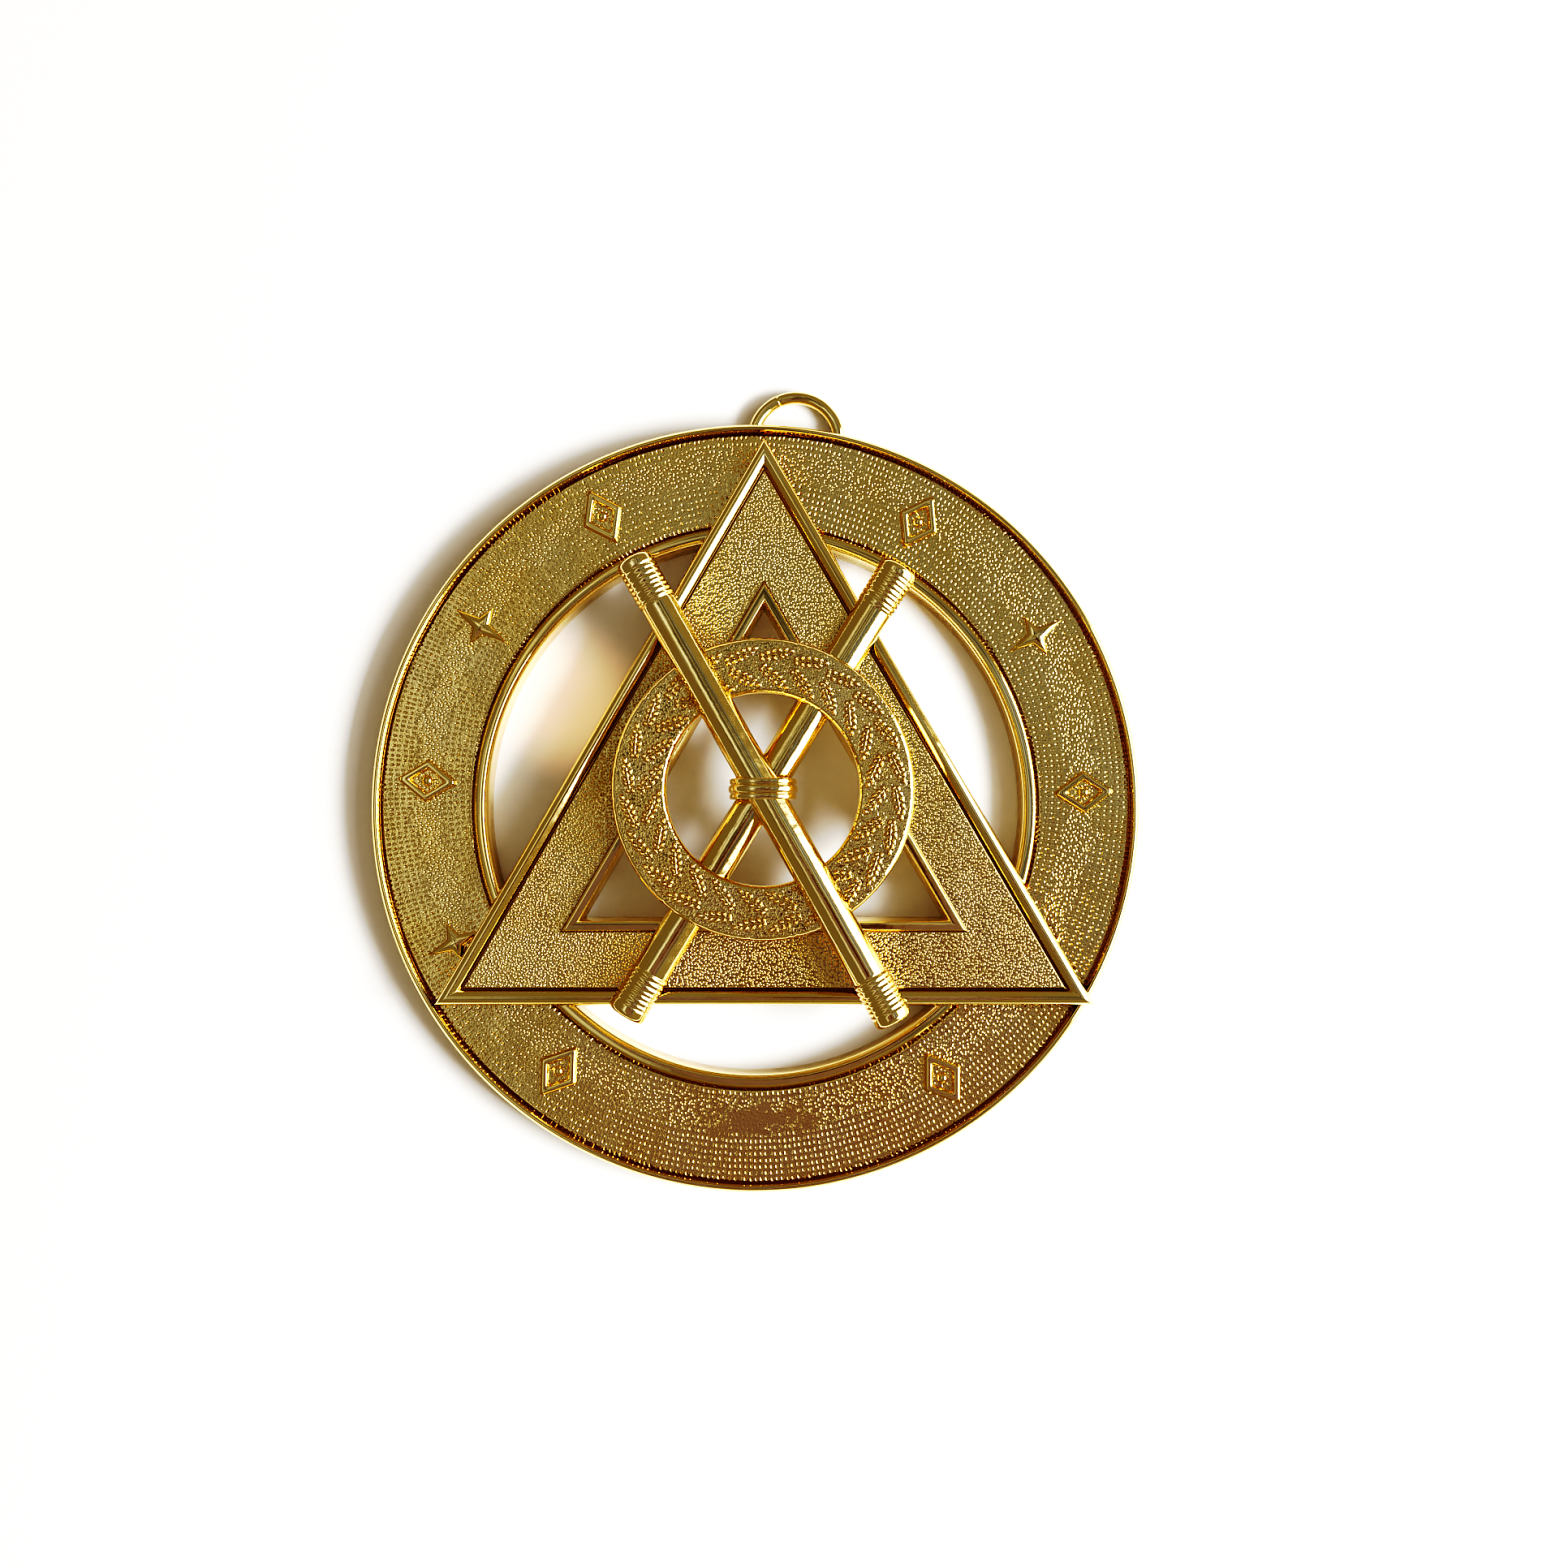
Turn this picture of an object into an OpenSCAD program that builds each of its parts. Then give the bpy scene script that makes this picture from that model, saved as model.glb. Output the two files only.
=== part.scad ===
// Round gilt collar jewel, lying on its back with its face up.
// X runs to the right, Y towards the suspension loop, Z up out of the face.
// A ring band carries a triangular frame, and the frame carries an emblem of
// two crossed rods, tied at their crossing, with a leaf wreath round them.

/* [Ring band] */
// Outer diameter of the band
band_d = 76; // [72:0.5:82]
// Diameter of the band's hole at its back
band_hole_d = 52.4; // [48:0.2:54]
// Thickness of the band at its sunk field
band_field_t = 1.7; // [1.6:0.05:2.2]
// Height of the raised rims above the field
band_rim_rise = 0.7; // [0.6:0.05:1]
// Width of the outer rim
outer_rim_w = 0.8; // [0.6:0.05:1.4]
// Width of the inner rim, from its outer foot to the edge of the hole
inner_rim_w = 1.46; // [1.2:0.02:2]
// How much the hole widens from the back to the face, on the radius
hole_draft = 0.3; // [0.1:0.05:0.5]

/* [Ornaments on the band] */
// Number of raised ornaments
ornament_count = 11; // [3:1:11]
// Arc at the bottom of the band that stays bare, in degrees
bare_arc = 71; // [60:1:90]
// Middle of the bare arc, in degrees clockwise from the bottom
bare_arc_turn = 1; // [-10:1:10]
// Length of an ornament across the band
ornament_l = 6.3; // [5:0.1:7]
// Width of an ornament along the band
ornament_w = 4.4; // [3.6:0.1:5]
// Width of a lozenge's raised line
line_w = 0.9; // [0.7:0.05:1]
// Height of the ornaments above the field
ornament_h = 0.55; // [0.4:0.05:0.58]
// Diameter of the bead inside a lozenge
ornament_bead_d = 1.1; // [0.8:0.1:1.3]

/* [Triangular frame] */
// Side of the frame at its back
tri_side = 65.3; // [62:0.1:67]
// Side of the frame's opening at its back
tri_open_side = 34.7; // [31:0.1:37]
// Thickness of the frame at its sunk field
tri_field_t = 1.2; // [1:0.05:1.5]
// Height of the frame's rims above its field
tri_rim_rise = 0.5; // [0.3:0.05:0.8]
// Width of the outer rim, with its sloping wall
tri_rim_w = 1.85; // [1.5:0.05:2.2]
// Width of the satin border round the opening, with its sloping wall
tri_border_w = 1.45; // [1.3:0.05:1.8]
// How much the frame's walls lean in between the back and the face
tri_draft = 0.5; // [0.3:0.05:0.6]
// Frame's centre to the right of the band's centre
tri_x = 0.9; // [-1:0.1:1.5]
// Frame's centre above the band's centre
tri_y = -0.9; // [-1:0.1:1]

/* [Emblem] */
// Crossing of the rods to the right of the frame's centre
emblem_x = -0.1; // [-1:0.1:1]
// Crossing of the rods above the frame's centre
emblem_y = 2.4; // [1:0.05:3]

/* [Wreath] */
// Outer diameter of the wreath
wreath_d = 29.4; // [28:0.1:31]
// Inner diameter of the wreath
wreath_hole_d = 18.7; // [18:0.1:20]
// Thickness of the wreath's base
wreath_t = 1.8; // [1.7:0.05:2.2]
// Width of the plain bevel on both edges of the base
bevel_w = 0.4; // [0.3:0.05:0.5]
// Depth of that bevel
bevel_drop = 0.45; // [0.3:0.05:0.6]
// Number of pairs of leaves
leaf_pairs = 24; // [18:1:26]
// Length of a leaf
leaf_l = 3.4; // [2.8:0.1:3.5]
// Width of a leaf
leaf_w = 1.3; // [1:0.05:1.4]
// Height of a leaf's rib above the base
leaf_h = 0.45; // [0.3:0.05:0.6]
// Distance from an edge of the wreath to the middle of the leaves beside it
leaf_inset = 1.55; // [1.4:0.05:1.7]
// Lean of the outer leaves towards the outer edge, in degrees
outer_lean = 16; // [8:1:20]
// Lean of the inner leaves towards the inner edge, in degrees
inner_lean = 35; // [25:1:38]
// Turn of the leaves about the wreath's middle, in degrees
leaf_turn = 9.4; // [0:0.1:15]

/* [Rods] */
// How far the rod on top reaches past the wreath at each end
over_reach = 11.1; // [9.5:0.1:12]
// Width of the rod on top
over_w = 3.45; // [3.2:0.05:3.8]
// Height of the rod on top, from the emblem's back to its crest
over_h = 3.4; // [3.2:0.05:4]
// Lean of the rod on top, in degrees to the left
over_lean = 29.5; // [25:0.5:34]
// How far the rod underneath reaches past the wreath at each end
under_reach = 11.1; // [9.5:0.1:12]
// Width of the rod underneath
under_w = 3.6; // [3.2:0.05:3.8]
// Height of the rod underneath
under_h = 1.3; // [1.1:0.05:1.35]
// Lean of the rod underneath, in degrees to the right
under_lean = 31.5; // [27:0.5:35]
// Length of the grooved ferrule at each end
ferrule_l = 4.8; // [4.8:0.1:7]
// How far a ferrule stands out from the shaft
ferrule_step = 0.14; // [0.05:0.01:0.2]
// Number of ring grooves in a ferrule
groove_count = 7; // [3:1:7]
// Distance from one groove to the next
groove_pitch = 0.58; // [0.45:0.01:0.58]
// Width of a groove
groove_w = 0.3; // [0.2:0.05:0.4]
// Depth of a groove
groove_deep = 0.12; // [0.08:0.01:0.2]
// Rounding of the rods' end corners
tip_round = 0.6; // [0.3:0.05:0.7]

/* [Binding] */
// Width of the binding across the crossing
tie_w = 6.6; // [6.2:0.1:7.2]
// Breadth of one of the two outer turns
tie_turn = 0.6; // [0.5:0.05:0.8]
// Breadth of the middle turn
tie_middle = 0.85; // [0.6:0.05:1.2]
// Thickness of the outer turns over the crest of the rod
tie_t = 0.3; // [0.25:0.05:0.5]
// Extra thickness of the middle turn
tie_swell = 0.12; // [0.05:0.01:0.2]

/* [Suspension loop] */
// Outer diameter of the loop
loop_d = 9.9; // [8:0.1:12]
// Diameter of the loop's wire
wire_d = 1.3; // [1:0.05:1.4]
// Distance from the loop's centre in to the band's outer edge
loop_inset = 1.05; // [0.5:0.05:2]
// Place of the loop, in degrees clockwise from the top
loop_turn = 6.3; // [0:0.1:10]

/* [Clearances] */
// Gap between pieces that are stacked on each other
seat_gap = 0.03; // [0.02:0.01:0.05]
// Gap round a piece that lies in another's groove or slot
slot_gap = 0.05; // [0.03:0.01:0.08]

/* [Hidden] */
$fn = 96;
gilt = "gold";
satin_gilt = "goldenrod";
wire_gilt = "darkgoldenrod";

band_r = band_d / 2;
hole_r = band_hole_d / 2;
band_t = band_field_t + band_rim_rise;
loop_r = loop_d / 2;
loop_y = (band_r - loop_inset) * cos(loop_turn);
loop_x = (band_r - loop_inset) * sin(loop_turn);
// The middle of the whole outline lies over the origin
band_y = (band_r - loop_y - loop_r) / 2;

// The field lies between the two rims, and the ornaments on its middle line
field_in_r = hole_r + hole_draft + inner_rim_w;
field_out_r = band_r - outer_rim_w;
ornament_r = (field_in_r + field_out_r) / 2;
// How deep the ornaments are rooted in the field
ornament_sink = 0.2;

tri_z = band_t + seat_gap;
tri_t = tri_field_t + tri_rim_rise;
emblem_z = tri_z + tri_t + seat_gap;

wreath_r = wreath_d / 2;
wreath_hole_r = wreath_hole_d / 2;
over_l = wreath_d + 2 * over_reach;
under_l = wreath_d + 2 * under_reach;
// Rows of leaves: [radius to their middle, lean]
leaf_rows = [[wreath_r - leaf_inset, outer_lean], [wreath_hole_r + leaf_inset, -inner_lean]];
// How deep the leaves are rooted in the base
leaf_sink = 0.15;
// Depth of the slot across the wreath's base, under the rod on top
slot_deep = 0.1;
slot_floor = wreath_t - slot_deep;
groove_start = ferrule_l - groove_count * groove_pitch;
// How much narrower a rod's straight sides are than its round top
skirt_inset = 0.05;
tie_depth = 2 * tie_turn + tie_middle;
// More than any piece reaches, for cuts that run past it
far = 100;

// Rims as shares of their width and height, from their foot outwards
RIM = [[0, 0], [0.12, 0.45], [0.3, 0.85], [0.5, 1], [0.7, 0.9], [0.88, 0.62], [1, 0.3]];
// Half of a leaf from stalk to tip: share of its length, of its half width, of its height
LEAF = [
    [0, 0.2, 0.3], [0.13, 0.84, 0.8], [0.23, 0.7, 0.9], [0.36, 1, 1], [0.46, 0.8, 1],
    [0.59, 0.98, 1], [0.69, 0.74, 0.9], [0.8, 0.82, 0.8], [0.88, 0.56, 0.7], [1, 0.16, 0.3]
];
// Raised line of a lozenge: share of its width, share of its height
LINE = [[0.2, 0.7], [0.5, 1], [0.8, 0.7]];
ARCH_STEPS = 16;
// Squareness of the binding's arch: 2 is an ellipse, and more is fuller
ARCH_POWER = 2.6;

// Radius of a round top that is as wide and as high as given
function dome_radius(width, dome) = (width * width / 4 + dome * dome) / (2 * dome);

// Height of a rod's round top: half its width, or all of its height if that is less
function dome_height(width, height) = min(width / 2, height);

// Corners of a regular triangle, the first one up
function triangle(side) = [for (i = [0:2]) side / sqrt(3) * [sin(i * 120), cos(i * 120)]];

// Closed frame with mitred corners. Each corner is a point, reach is the distance from the
// centre to a side, and section holds [distance in from the side, height] from the outer foot on
module mitred_frame(corners, reach, section) {
    n = len(corners);
    m = len(section);
    points = [for (s = section) for (c = corners) [c.x * (1 - s.x / reach), c.y * (1 - s.x / reach), s.y]];
    faces = [for (i = [0:m - 1]) for (j = [0:n - 1])
        let (k = (j + 1) % n, up = (i + 1) % m) [i * n + j, i * n + k, up * n + k, up * n + j]];
    polyhedron(points, faces);
}

// Everything up to the emblem is placed from the band's centre
module at_band() {
    translate([0, band_y, 0]) children();
}

module at_triangle() {
    at_band() translate([tri_x, tri_y, tri_z]) children();
}

module at_emblem() {
    at_band() translate([tri_x + emblem_x, tri_y + emblem_y, emblem_z]) children();
}

// Section of the band: flat back, two raised rims and the sunk field between them
module band_section() {
    outer_rim = [for (i = [len(RIM) - 1:-1:0]) let (s = RIM[i])
        [field_out_r + outer_rim_w * s.x, band_field_t + band_rim_rise * s.y]];
    inner_rim = [for (s = RIM) [field_in_r - inner_rim_w * s.x, band_field_t + band_rim_rise * s.y]];
    polygon(concat([[hole_r, 0], [band_r, 0]], outer_rim, inner_rim));
}

// Groove in the band's back that the loop's wire lies in, flush with the back
module loop_groove() {
    r = wire_d / 2 + slot_gap;
    arch = [for (a = [0:15:180]) [r * cos(a), wire_d / 2 + r * sin(a)]];
    translate([loop_x, loop_y, 0])
        rotate_extrude()
            translate([loop_r - wire_d / 2, 0])
                polygon(concat([[-r, -1], [r, -1]], arch));
}

// Open lozenge with a bead in its middle
module lozenge() {
    half_w = ornament_w / 2;
    half_l = ornament_l / 2;
    corners = [[0, half_l], [half_w, 0], [0, -half_l], [-half_w, 0]];
    reach = half_w * half_l / norm([half_w, half_l]);
    top = [for (s = LINE) [line_w * s.x, ornament_h * s.y]];
    mitred_frame(corners, reach, concat([[0, -ornament_sink]], top, [[line_w, -ornament_sink]]));
    intersection() {
        sphere(d = ornament_bead_d);
        translate([0, 0, ornament_h / 2]) cube([far, far, ornament_h + 2 * ornament_sink], center = true);
    }
}

// Star with four points, ridged up to its middle
module star() {
    waist = ornament_w / 5;
    rim = [for (i = [0:7]) (i % 2 == 0 ? (i % 4 == 0 ? ornament_l : ornament_w) / 2 : waist)
        * [sin(i * 45), cos(i * 45)]];
    points = concat([for (p = rim) [p.x, p.y, -ornament_sink]], [for (p = rim) [p.x, p.y, 0.1]], [[0, 0, ornament_h]]);
    sides = [for (i = [0:7]) let (k = (i + 1) % 8) [i, k, 8 + k, 8 + i]];
    top = [for (i = [0:7]) [8 + i, 8 + (i + 1) % 8, 16]];
    polyhedron(points, concat(sides, top, [[7, 6, 5, 4, 3, 2, 1, 0]]));
}

module ring_band() {
    pitch = (360 - bare_arc) / (ornament_count - 1);
    color(satin_gilt)
        at_band() {
            difference() {
                rotate_extrude() band_section();
                loop_groove();
            }
            for (i = [0:ornament_count - 1])
                rotate([0, 0, 180 - bare_arc_turn - bare_arc / 2 - i * pitch])
                    translate([0, ornament_r, band_field_t])
                        if (i % 2 == 0) lozenge(); else star();
        }
}

module triangle_frame() {
    reach = tri_side / sqrt(12);
    open_reach = tri_open_side / sqrt(12);
    hole = reach - open_reach;
    wall = tri_draft * tri_field_t / tri_t;
    rim = [for (i = [len(RIM) - 1:-1:0]) let (s = RIM[i])
        [wall + (tri_rim_w - wall) * (1 - s.x), tri_field_t + tri_rim_rise * s.y]];
    border_top = hole - tri_draft;
    border_foot = hole - tri_border_w;
    section = concat(
        [[0, 0]],
        rim,
        [
            [border_foot, tri_field_t], [border_foot + 0.1, tri_t - 0.08], [border_foot + 0.22, tri_t],
            [border_top, tri_t], [hole, 0]
        ]);
    color(satin_gilt) at_triangle() mitred_frame(triangle(tri_side), reach, section);
}

// Space that a rod's plain shaft takes, with a gap all round it, open towards the back
module shaft_space(width, height, gap) {
    dome = dome_height(width, height);
    r = dome_radius(width, dome);
    centre = height - r;
    translate([0, 0, centre]) rotate([90, 0, 0]) cylinder(r = r + gap, h = wreath_d + 4, center = true);
    if (centre > 0)
        translate([-width / 2 - gap, -wreath_r - 2, -1]) cube([width + 2 * gap, wreath_d + 4, centre + 1]);
}

module over_space(gap) {
    rotate([0, 0, over_lean]) shaft_space(over_w, over_h, gap);
}

module under_space(gap) {
    rotate([0, 0, -under_lean]) shaft_space(under_w, under_h, gap);
}

// End of a rod from its tip inwards: [distance from the tip, radius]
function rod_end(r, grooved) = concat(
    [for (a = [0:30:90]) tip_round * [1 - cos(a), sin(a) - 1] + [0, r]],
    [for (g = [0:grooved ? groove_count - 1 : -1]) each [
        [groove_start + g * groove_pitch, r],
        [groove_start + g * groove_pitch + groove_w / 2, r - groove_deep],
        [groove_start + g * groove_pitch + groove_w, r]
    ]],
    [[ferrule_l, r]]);

// Right half of a rod's outline from its lower to its upper end: [radius, place along the rod]
function rod_side(length, r, grooved) =
    let (end = rod_end(r + ferrule_step, grooved), half = length / 2)
    concat(
        [for (p = end) [p[1], p[0] - half]],
        [[r, ferrule_l - half], [r, half - ferrule_l]],
        [for (i = [len(end) - 1:-1:0]) [end[i][1], half - end[i][0]]]);

// Rod lying on z = 0 along Y, with a round top, and straight sides where it is higher than half its width
module rod(length, width, height) {
    dome = dome_height(width, height);
    r = dome_radius(width, dome);
    centre = height - r;
    skirt = [for (p = rod_side(length, r, false)) [p.x - skirt_inset, p.y * (1 - skirt_inset / length)]];
    intersection() {
        union() {
            translate([0, 0, centre]) rotate([-90, 0, 0]) rotate_extrude()
                polygon(concat([[0, -length / 2]], rod_side(length, r, true), [[0, length / 2]]));
            if (centre > 0)
                linear_extrude(centre)
                    polygon(concat(skirt, [for (i = [len(skirt) - 1:-1:0]) [-skirt[i].x, skirt[i].y]]));
        }
        translate([-far / 2, -far / 2, 0]) cube(far);
    }
}

// Leaf along X from its stalk at the left to its tip, ridged along its rib
module leaf() {
    n = len(LEAF);
    points = [for (s = LEAF) let (x = (s[0] - 0.5) * leaf_l, y = s[1] * leaf_w / 2) each [
        [x, -y, -leaf_sink], [x, y, -leaf_sink], [x, 0, s[2] * leaf_h]
    ]];
    sides = [for (i = [0:n - 2]) for (k = [0:2]) let (a = 3 * i + k, b = 3 * i + (k + 1) % 3)
        each [[a, b + 3, b], [a, a + 3, b + 3]]];
    polyhedron(points, concat([[0, 1, 2]], sides, [[3 * n - 1, 3 * n - 2, 3 * n - 3]]));
}

// Base of the wreath, bevelled on both edges
module wreath_base() {
    rotate_extrude() polygon([
        [wreath_hole_r, 0], [wreath_r, 0], [wreath_r, wreath_t - bevel_drop], [wreath_r - bevel_w, wreath_t],
        [wreath_hole_r + bevel_w, wreath_t], [wreath_hole_r, wreath_t - bevel_drop]
    ]);
}

module wreath() {
    color(gilt)
        at_emblem()
            difference() {
                union() {
                    wreath_base();
                    for (i = [0:leaf_pairs - 1], row = leaf_rows)
                        rotate([0, 0, leaf_turn - 90 + i * 360 / leaf_pairs])
                            translate([0, row[0], wreath_t])
                                rotate([0, 0, row[1]])
                                    leaf();
                }
                under_space(slot_gap);
                rotate([0, 0, over_lean])
                    translate([-over_w / 2 - slot_gap, -wreath_r - 2, slot_floor])
                        cube([over_w + 2 * slot_gap, wreath_d + 4, over_h]);
            }
}

module rod_over() {
    color(gilt)
        at_emblem()
            difference() {
                rotate([0, 0, over_lean]) rod(over_l, over_w, over_h);
                under_space(slot_gap);
                rotate_extrude()
                    translate([wreath_hole_r - slot_gap, -1])
                        square([wreath_r - wreath_hole_r + 2 * slot_gap, slot_floor + slot_gap + 1]);
            }
}

module rod_under() {
    color(gilt) at_emblem() rotate([0, 0, -under_lean]) rod(under_l, under_w, under_h);
}

// Outline of one turn of the binding, seen along Y
module arch(width, height) {
    polygon([for (i = [0:ARCH_STEPS]) let (a = 180 * i / ARCH_STEPS, c = cos(a), s = sin(a))
        [sign(c) * width / 2 * pow(abs(c), 2 / ARCH_POWER), height * pow(s, 2 / ARCH_POWER)]]);
}

// One turn of the binding, from_y to from_y + breadth
module turn(from_y, breadth, swell) {
    translate([0, from_y + breadth, 0])
        rotate([90, 0, 0])
            linear_extrude(breadth)
                arch(tie_w + 2 * swell, over_h + tie_t + swell);
}

module binding() {
    color(gilt)
        at_emblem()
            difference() {
                union() {
                    turn(-tie_depth / 2, tie_depth, 0);
                    turn(-tie_middle / 2, tie_middle, tie_swell);
                }
                over_space(slot_gap);
                under_space(slot_gap);
            }
}

module suspension_loop() {
    color(wire_gilt)
        at_band()
            translate([loop_x, loop_y, wire_d / 2])
                rotate_extrude()
                    translate([loop_r - wire_d / 2, 0])
                        circle(d = wire_d);
}

ring_band();
triangle_frame();
wreath();
rod_over();
rod_under();
binding();
suspension_loop();
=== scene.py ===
import math

import bpy
import numpy as np
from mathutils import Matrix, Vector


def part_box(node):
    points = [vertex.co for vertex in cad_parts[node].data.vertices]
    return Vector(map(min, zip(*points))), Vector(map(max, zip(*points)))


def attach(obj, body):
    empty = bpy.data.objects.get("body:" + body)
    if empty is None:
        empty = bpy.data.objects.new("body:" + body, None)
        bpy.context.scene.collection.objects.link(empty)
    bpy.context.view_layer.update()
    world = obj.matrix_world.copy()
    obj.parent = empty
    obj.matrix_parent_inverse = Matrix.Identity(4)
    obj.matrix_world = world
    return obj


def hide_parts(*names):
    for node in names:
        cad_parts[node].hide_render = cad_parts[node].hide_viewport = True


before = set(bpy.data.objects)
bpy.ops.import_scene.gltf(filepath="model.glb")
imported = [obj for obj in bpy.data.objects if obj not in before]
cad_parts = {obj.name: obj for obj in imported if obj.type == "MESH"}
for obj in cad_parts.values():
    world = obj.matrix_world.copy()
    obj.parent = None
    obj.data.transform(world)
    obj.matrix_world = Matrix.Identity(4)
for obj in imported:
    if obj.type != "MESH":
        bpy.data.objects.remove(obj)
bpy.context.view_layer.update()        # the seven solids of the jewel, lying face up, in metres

# All sizes are in millimetres until a mesh, a light or the camera is made
MM = 0.001
ROOT = "root"


# Sizes: those of the nodes' boxes in model.glb, and finer ones as the solids have them

def box_mm(node):
    """Lowest and highest corner of a node"""
    low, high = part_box(node)
    return np.array(low) / MM, np.array(high) / MM


def middle_mm(node):
    low, high = box_mm(node)
    return (low + high) / 2


BAND_LOW, BAND_HIGH = box_mm("ring_band")
BAND_CENTRE = middle_mm("ring_band")[:2]
BAND_R = (BAND_HIGH[0] - BAND_LOW[0]) / 2
BAND_TOP = BAND_HIGH[2]
BAND_RIM_RISE = 0.7
BAND_FIELD_Z = BAND_TOP - BAND_RIM_RISE
# Radius of the hole at the back, and where its wall meets the inner rim
HOLE_R = 26.2
HOLE_TOP_R = 26.5
INNER_RIM_W = 1.46
OUTER_RIM_W = 0.8
FIELD_IN_R = HOLE_TOP_R + INNER_RIM_W
FIELD_OUT_R = BAND_R - OUTER_RIM_W
ORNAMENT_R = (FIELD_IN_R + FIELD_OUT_R) / 2

FRAME_LOW, FRAME_HIGH = box_mm("triangle_frame")
FRAME_SIDE = FRAME_HIGH[0] - FRAME_LOW[0]
# Distance from the triangle's centre to a side
FRAME_REACH = FRAME_SIDE / math.sqrt(12)
FRAME_CENTRE = np.array([(FRAME_LOW[0] + FRAME_HIGH[0]) / 2, FRAME_LOW[1] + FRAME_REACH])
FRAME_Z = FRAME_LOW[2]
FRAME_T = FRAME_HIGH[2] - FRAME_Z
FRAME_RIM_RISE = 0.5
FRAME_FIELD_T = FRAME_T - FRAME_RIM_RISE

WREATH_LOW, WREATH_HIGH = box_mm("wreath")
EMBLEM_CENTRE = middle_mm("wreath")[:2]
EMBLEM_Z = WREATH_LOW[2]
WREATH_R = (WREATH_HIGH[0] - WREATH_LOW[0]) / 2
WREATH_HOLE_R = 9.35
LEAF_H = 0.45
WREATH_T = WREATH_HIGH[2] - EMBLEM_Z - LEAF_H
BEVEL_W = 0.4
BEVEL_DROP = 0.45

ROD_REACH = 11.1
ROD_L = 2 * (WREATH_R + ROD_REACH)
OVER_W = 3.45
OVER_H = 3.4
OVER_LEAN = math.radians(29.5)
UNDER_W = 3.6
UNDER_H = 1.3
UNDER_LEAN = math.radians(-31.5)
FERRULE_L = 4.8
FERRULE_STEP = 0.14
TIP_ROUND = 0.6
SLOT_GAP = 0.05
SLOT_DEEP = 0.1

TIE_W = 6.6
TIE_TURN = 0.6
TIE_MIDDLE = 0.85
TIE_T = 0.3
TIE_SWELL = 0.12

LOOP_LOW, LOOP_HIGH = box_mm("suspension_loop")
LOOP_CENTRE = middle_mm("suspension_loop")[:2]
WIRE_R = (LOOP_HIGH[2] - LOOP_LOW[2]) / 2
LOOP_LINE_R = (LOOP_HIGH[0] - LOOP_LOW[0]) / 2 - WIRE_R


# Maps of heights, and smooth random waves

def between_four(corners, fx, fy):
    """Value at the shares fx and fy of the way between four corners: two low ones, then two high ones"""
    low = corners[0] * (1 - fx) + corners[1] * fx
    high = corners[2] * (1 - fx) + corners[3] * fx
    return low * (1 - fy) + high * fy


class Relief:
    """Square map of heights, drawn one mound at a time and read back at any point"""

    def __init__(self, centre, half, pixel):
        self.origin = np.array(centre) - half
        self.pixel = pixel
        count = int(2 * half / pixel) + 2
        self.height = np.zeros((count, count), np.float32)

    def mound(self, x, y, turn, along, across, height, power):
        """Draws a mound of the given half sizes; where mounds meet, the higher one shows"""
        reach = max(along, across)
        col, row = ((np.array([x, y]) - reach - self.origin) / self.pixel).astype(int)
        span = int(2 * reach / self.pixel) + 2
        window = self.height[row:row + span, col:col + span]
        rows, cols = window.shape
        dx = self.origin[0] + np.arange(col, col + cols) * self.pixel - x
        dy = self.origin[1] + np.arange(row, row + rows)[:, None] * self.pixel - y
        u = (dx * math.cos(turn) + dy * math.sin(turn)) / along
        v = (dy * math.cos(turn) - dx * math.sin(turn)) / across
        np.maximum(window, height * np.clip(1 - u * u - v * v, 0, None) ** power, out=window)

    def hollows(self, reach, full):
        """Map of how far each place lies below the mean height round it: 1 where that is full or more"""
        steps = range(-int(reach / self.pixel), int(reach / self.pixel) + 1)
        mean = self.height
        for axis in (0, 1):
            mean = sum(np.roll(mean, step, axis) for step in steps) / len(steps)
        deep = Relief((0, 0), 0, self.pixel)
        deep.origin = self.origin
        deep.height = np.clip((mean - self.height) / full, 0, 1)
        return deep

    def read(self, x, y):
        col = (x - self.origin[0]) / self.pixel
        row = (y - self.origin[1]) / self.pixel
        i = np.clip(col.astype(int), 0, self.height.shape[1] - 2)
        j = np.clip(row.astype(int), 0, self.height.shape[0] - 2)
        fx = np.clip(col - i, 0, 1)
        fy = np.clip(row - j, 0, 1)
        corners = [self.height[row, col] for row in (j, j + 1) for col in (i, i + 1)]
        return between_four(corners, fx, fy)


def smooth_step(low, high, value):
    share = np.clip((value - low) / (high - low), 0, 1)
    return share * share * (3 - 2 * share)


NOISE_CELLS = 256


def waves(x, y, cell, seed):
    """Smooth random heights from -1 to 1, each wave about a cell across"""
    table = np.random.default_rng(seed).uniform(-1, 1, (NOISE_CELLS, NOISE_CELLS))
    gx = np.asarray(x) / cell
    gy = np.asarray(y) / cell
    i = np.floor(gx).astype(int)
    j = np.floor(gy).astype(int)
    fx = smooth_step(0, 1, gx - i)
    fy = smooth_step(0, 1, gy - j)
    corners = [table[col % NOISE_CELLS, row % NOISE_CELLS] for row in (j, j + 1) for col in (i, i + 1)]
    return between_four(corners, fx, fy)


# Meshes

def strip(a, a_count, b, b_count):
    """Faces between rings of points from a and from b; one may have a multiple of the other's points"""
    if a_count >= b_count:
        times = a_count // b_count
        j = np.arange(b_count)[:, None]
        near = a + (times * j + np.arange(times + 1)) % a_count
        far = b + (j + np.array([1, 0])) % b_count
    else:
        times = b_count // a_count
        j = np.arange(a_count)[:, None]
        near = a + (j + np.array([0, 1])) % a_count
        far = b + (times * (j + 1) - np.arange(times + 1)) % b_count
    return np.hstack((near, far)).tolist()


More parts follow.
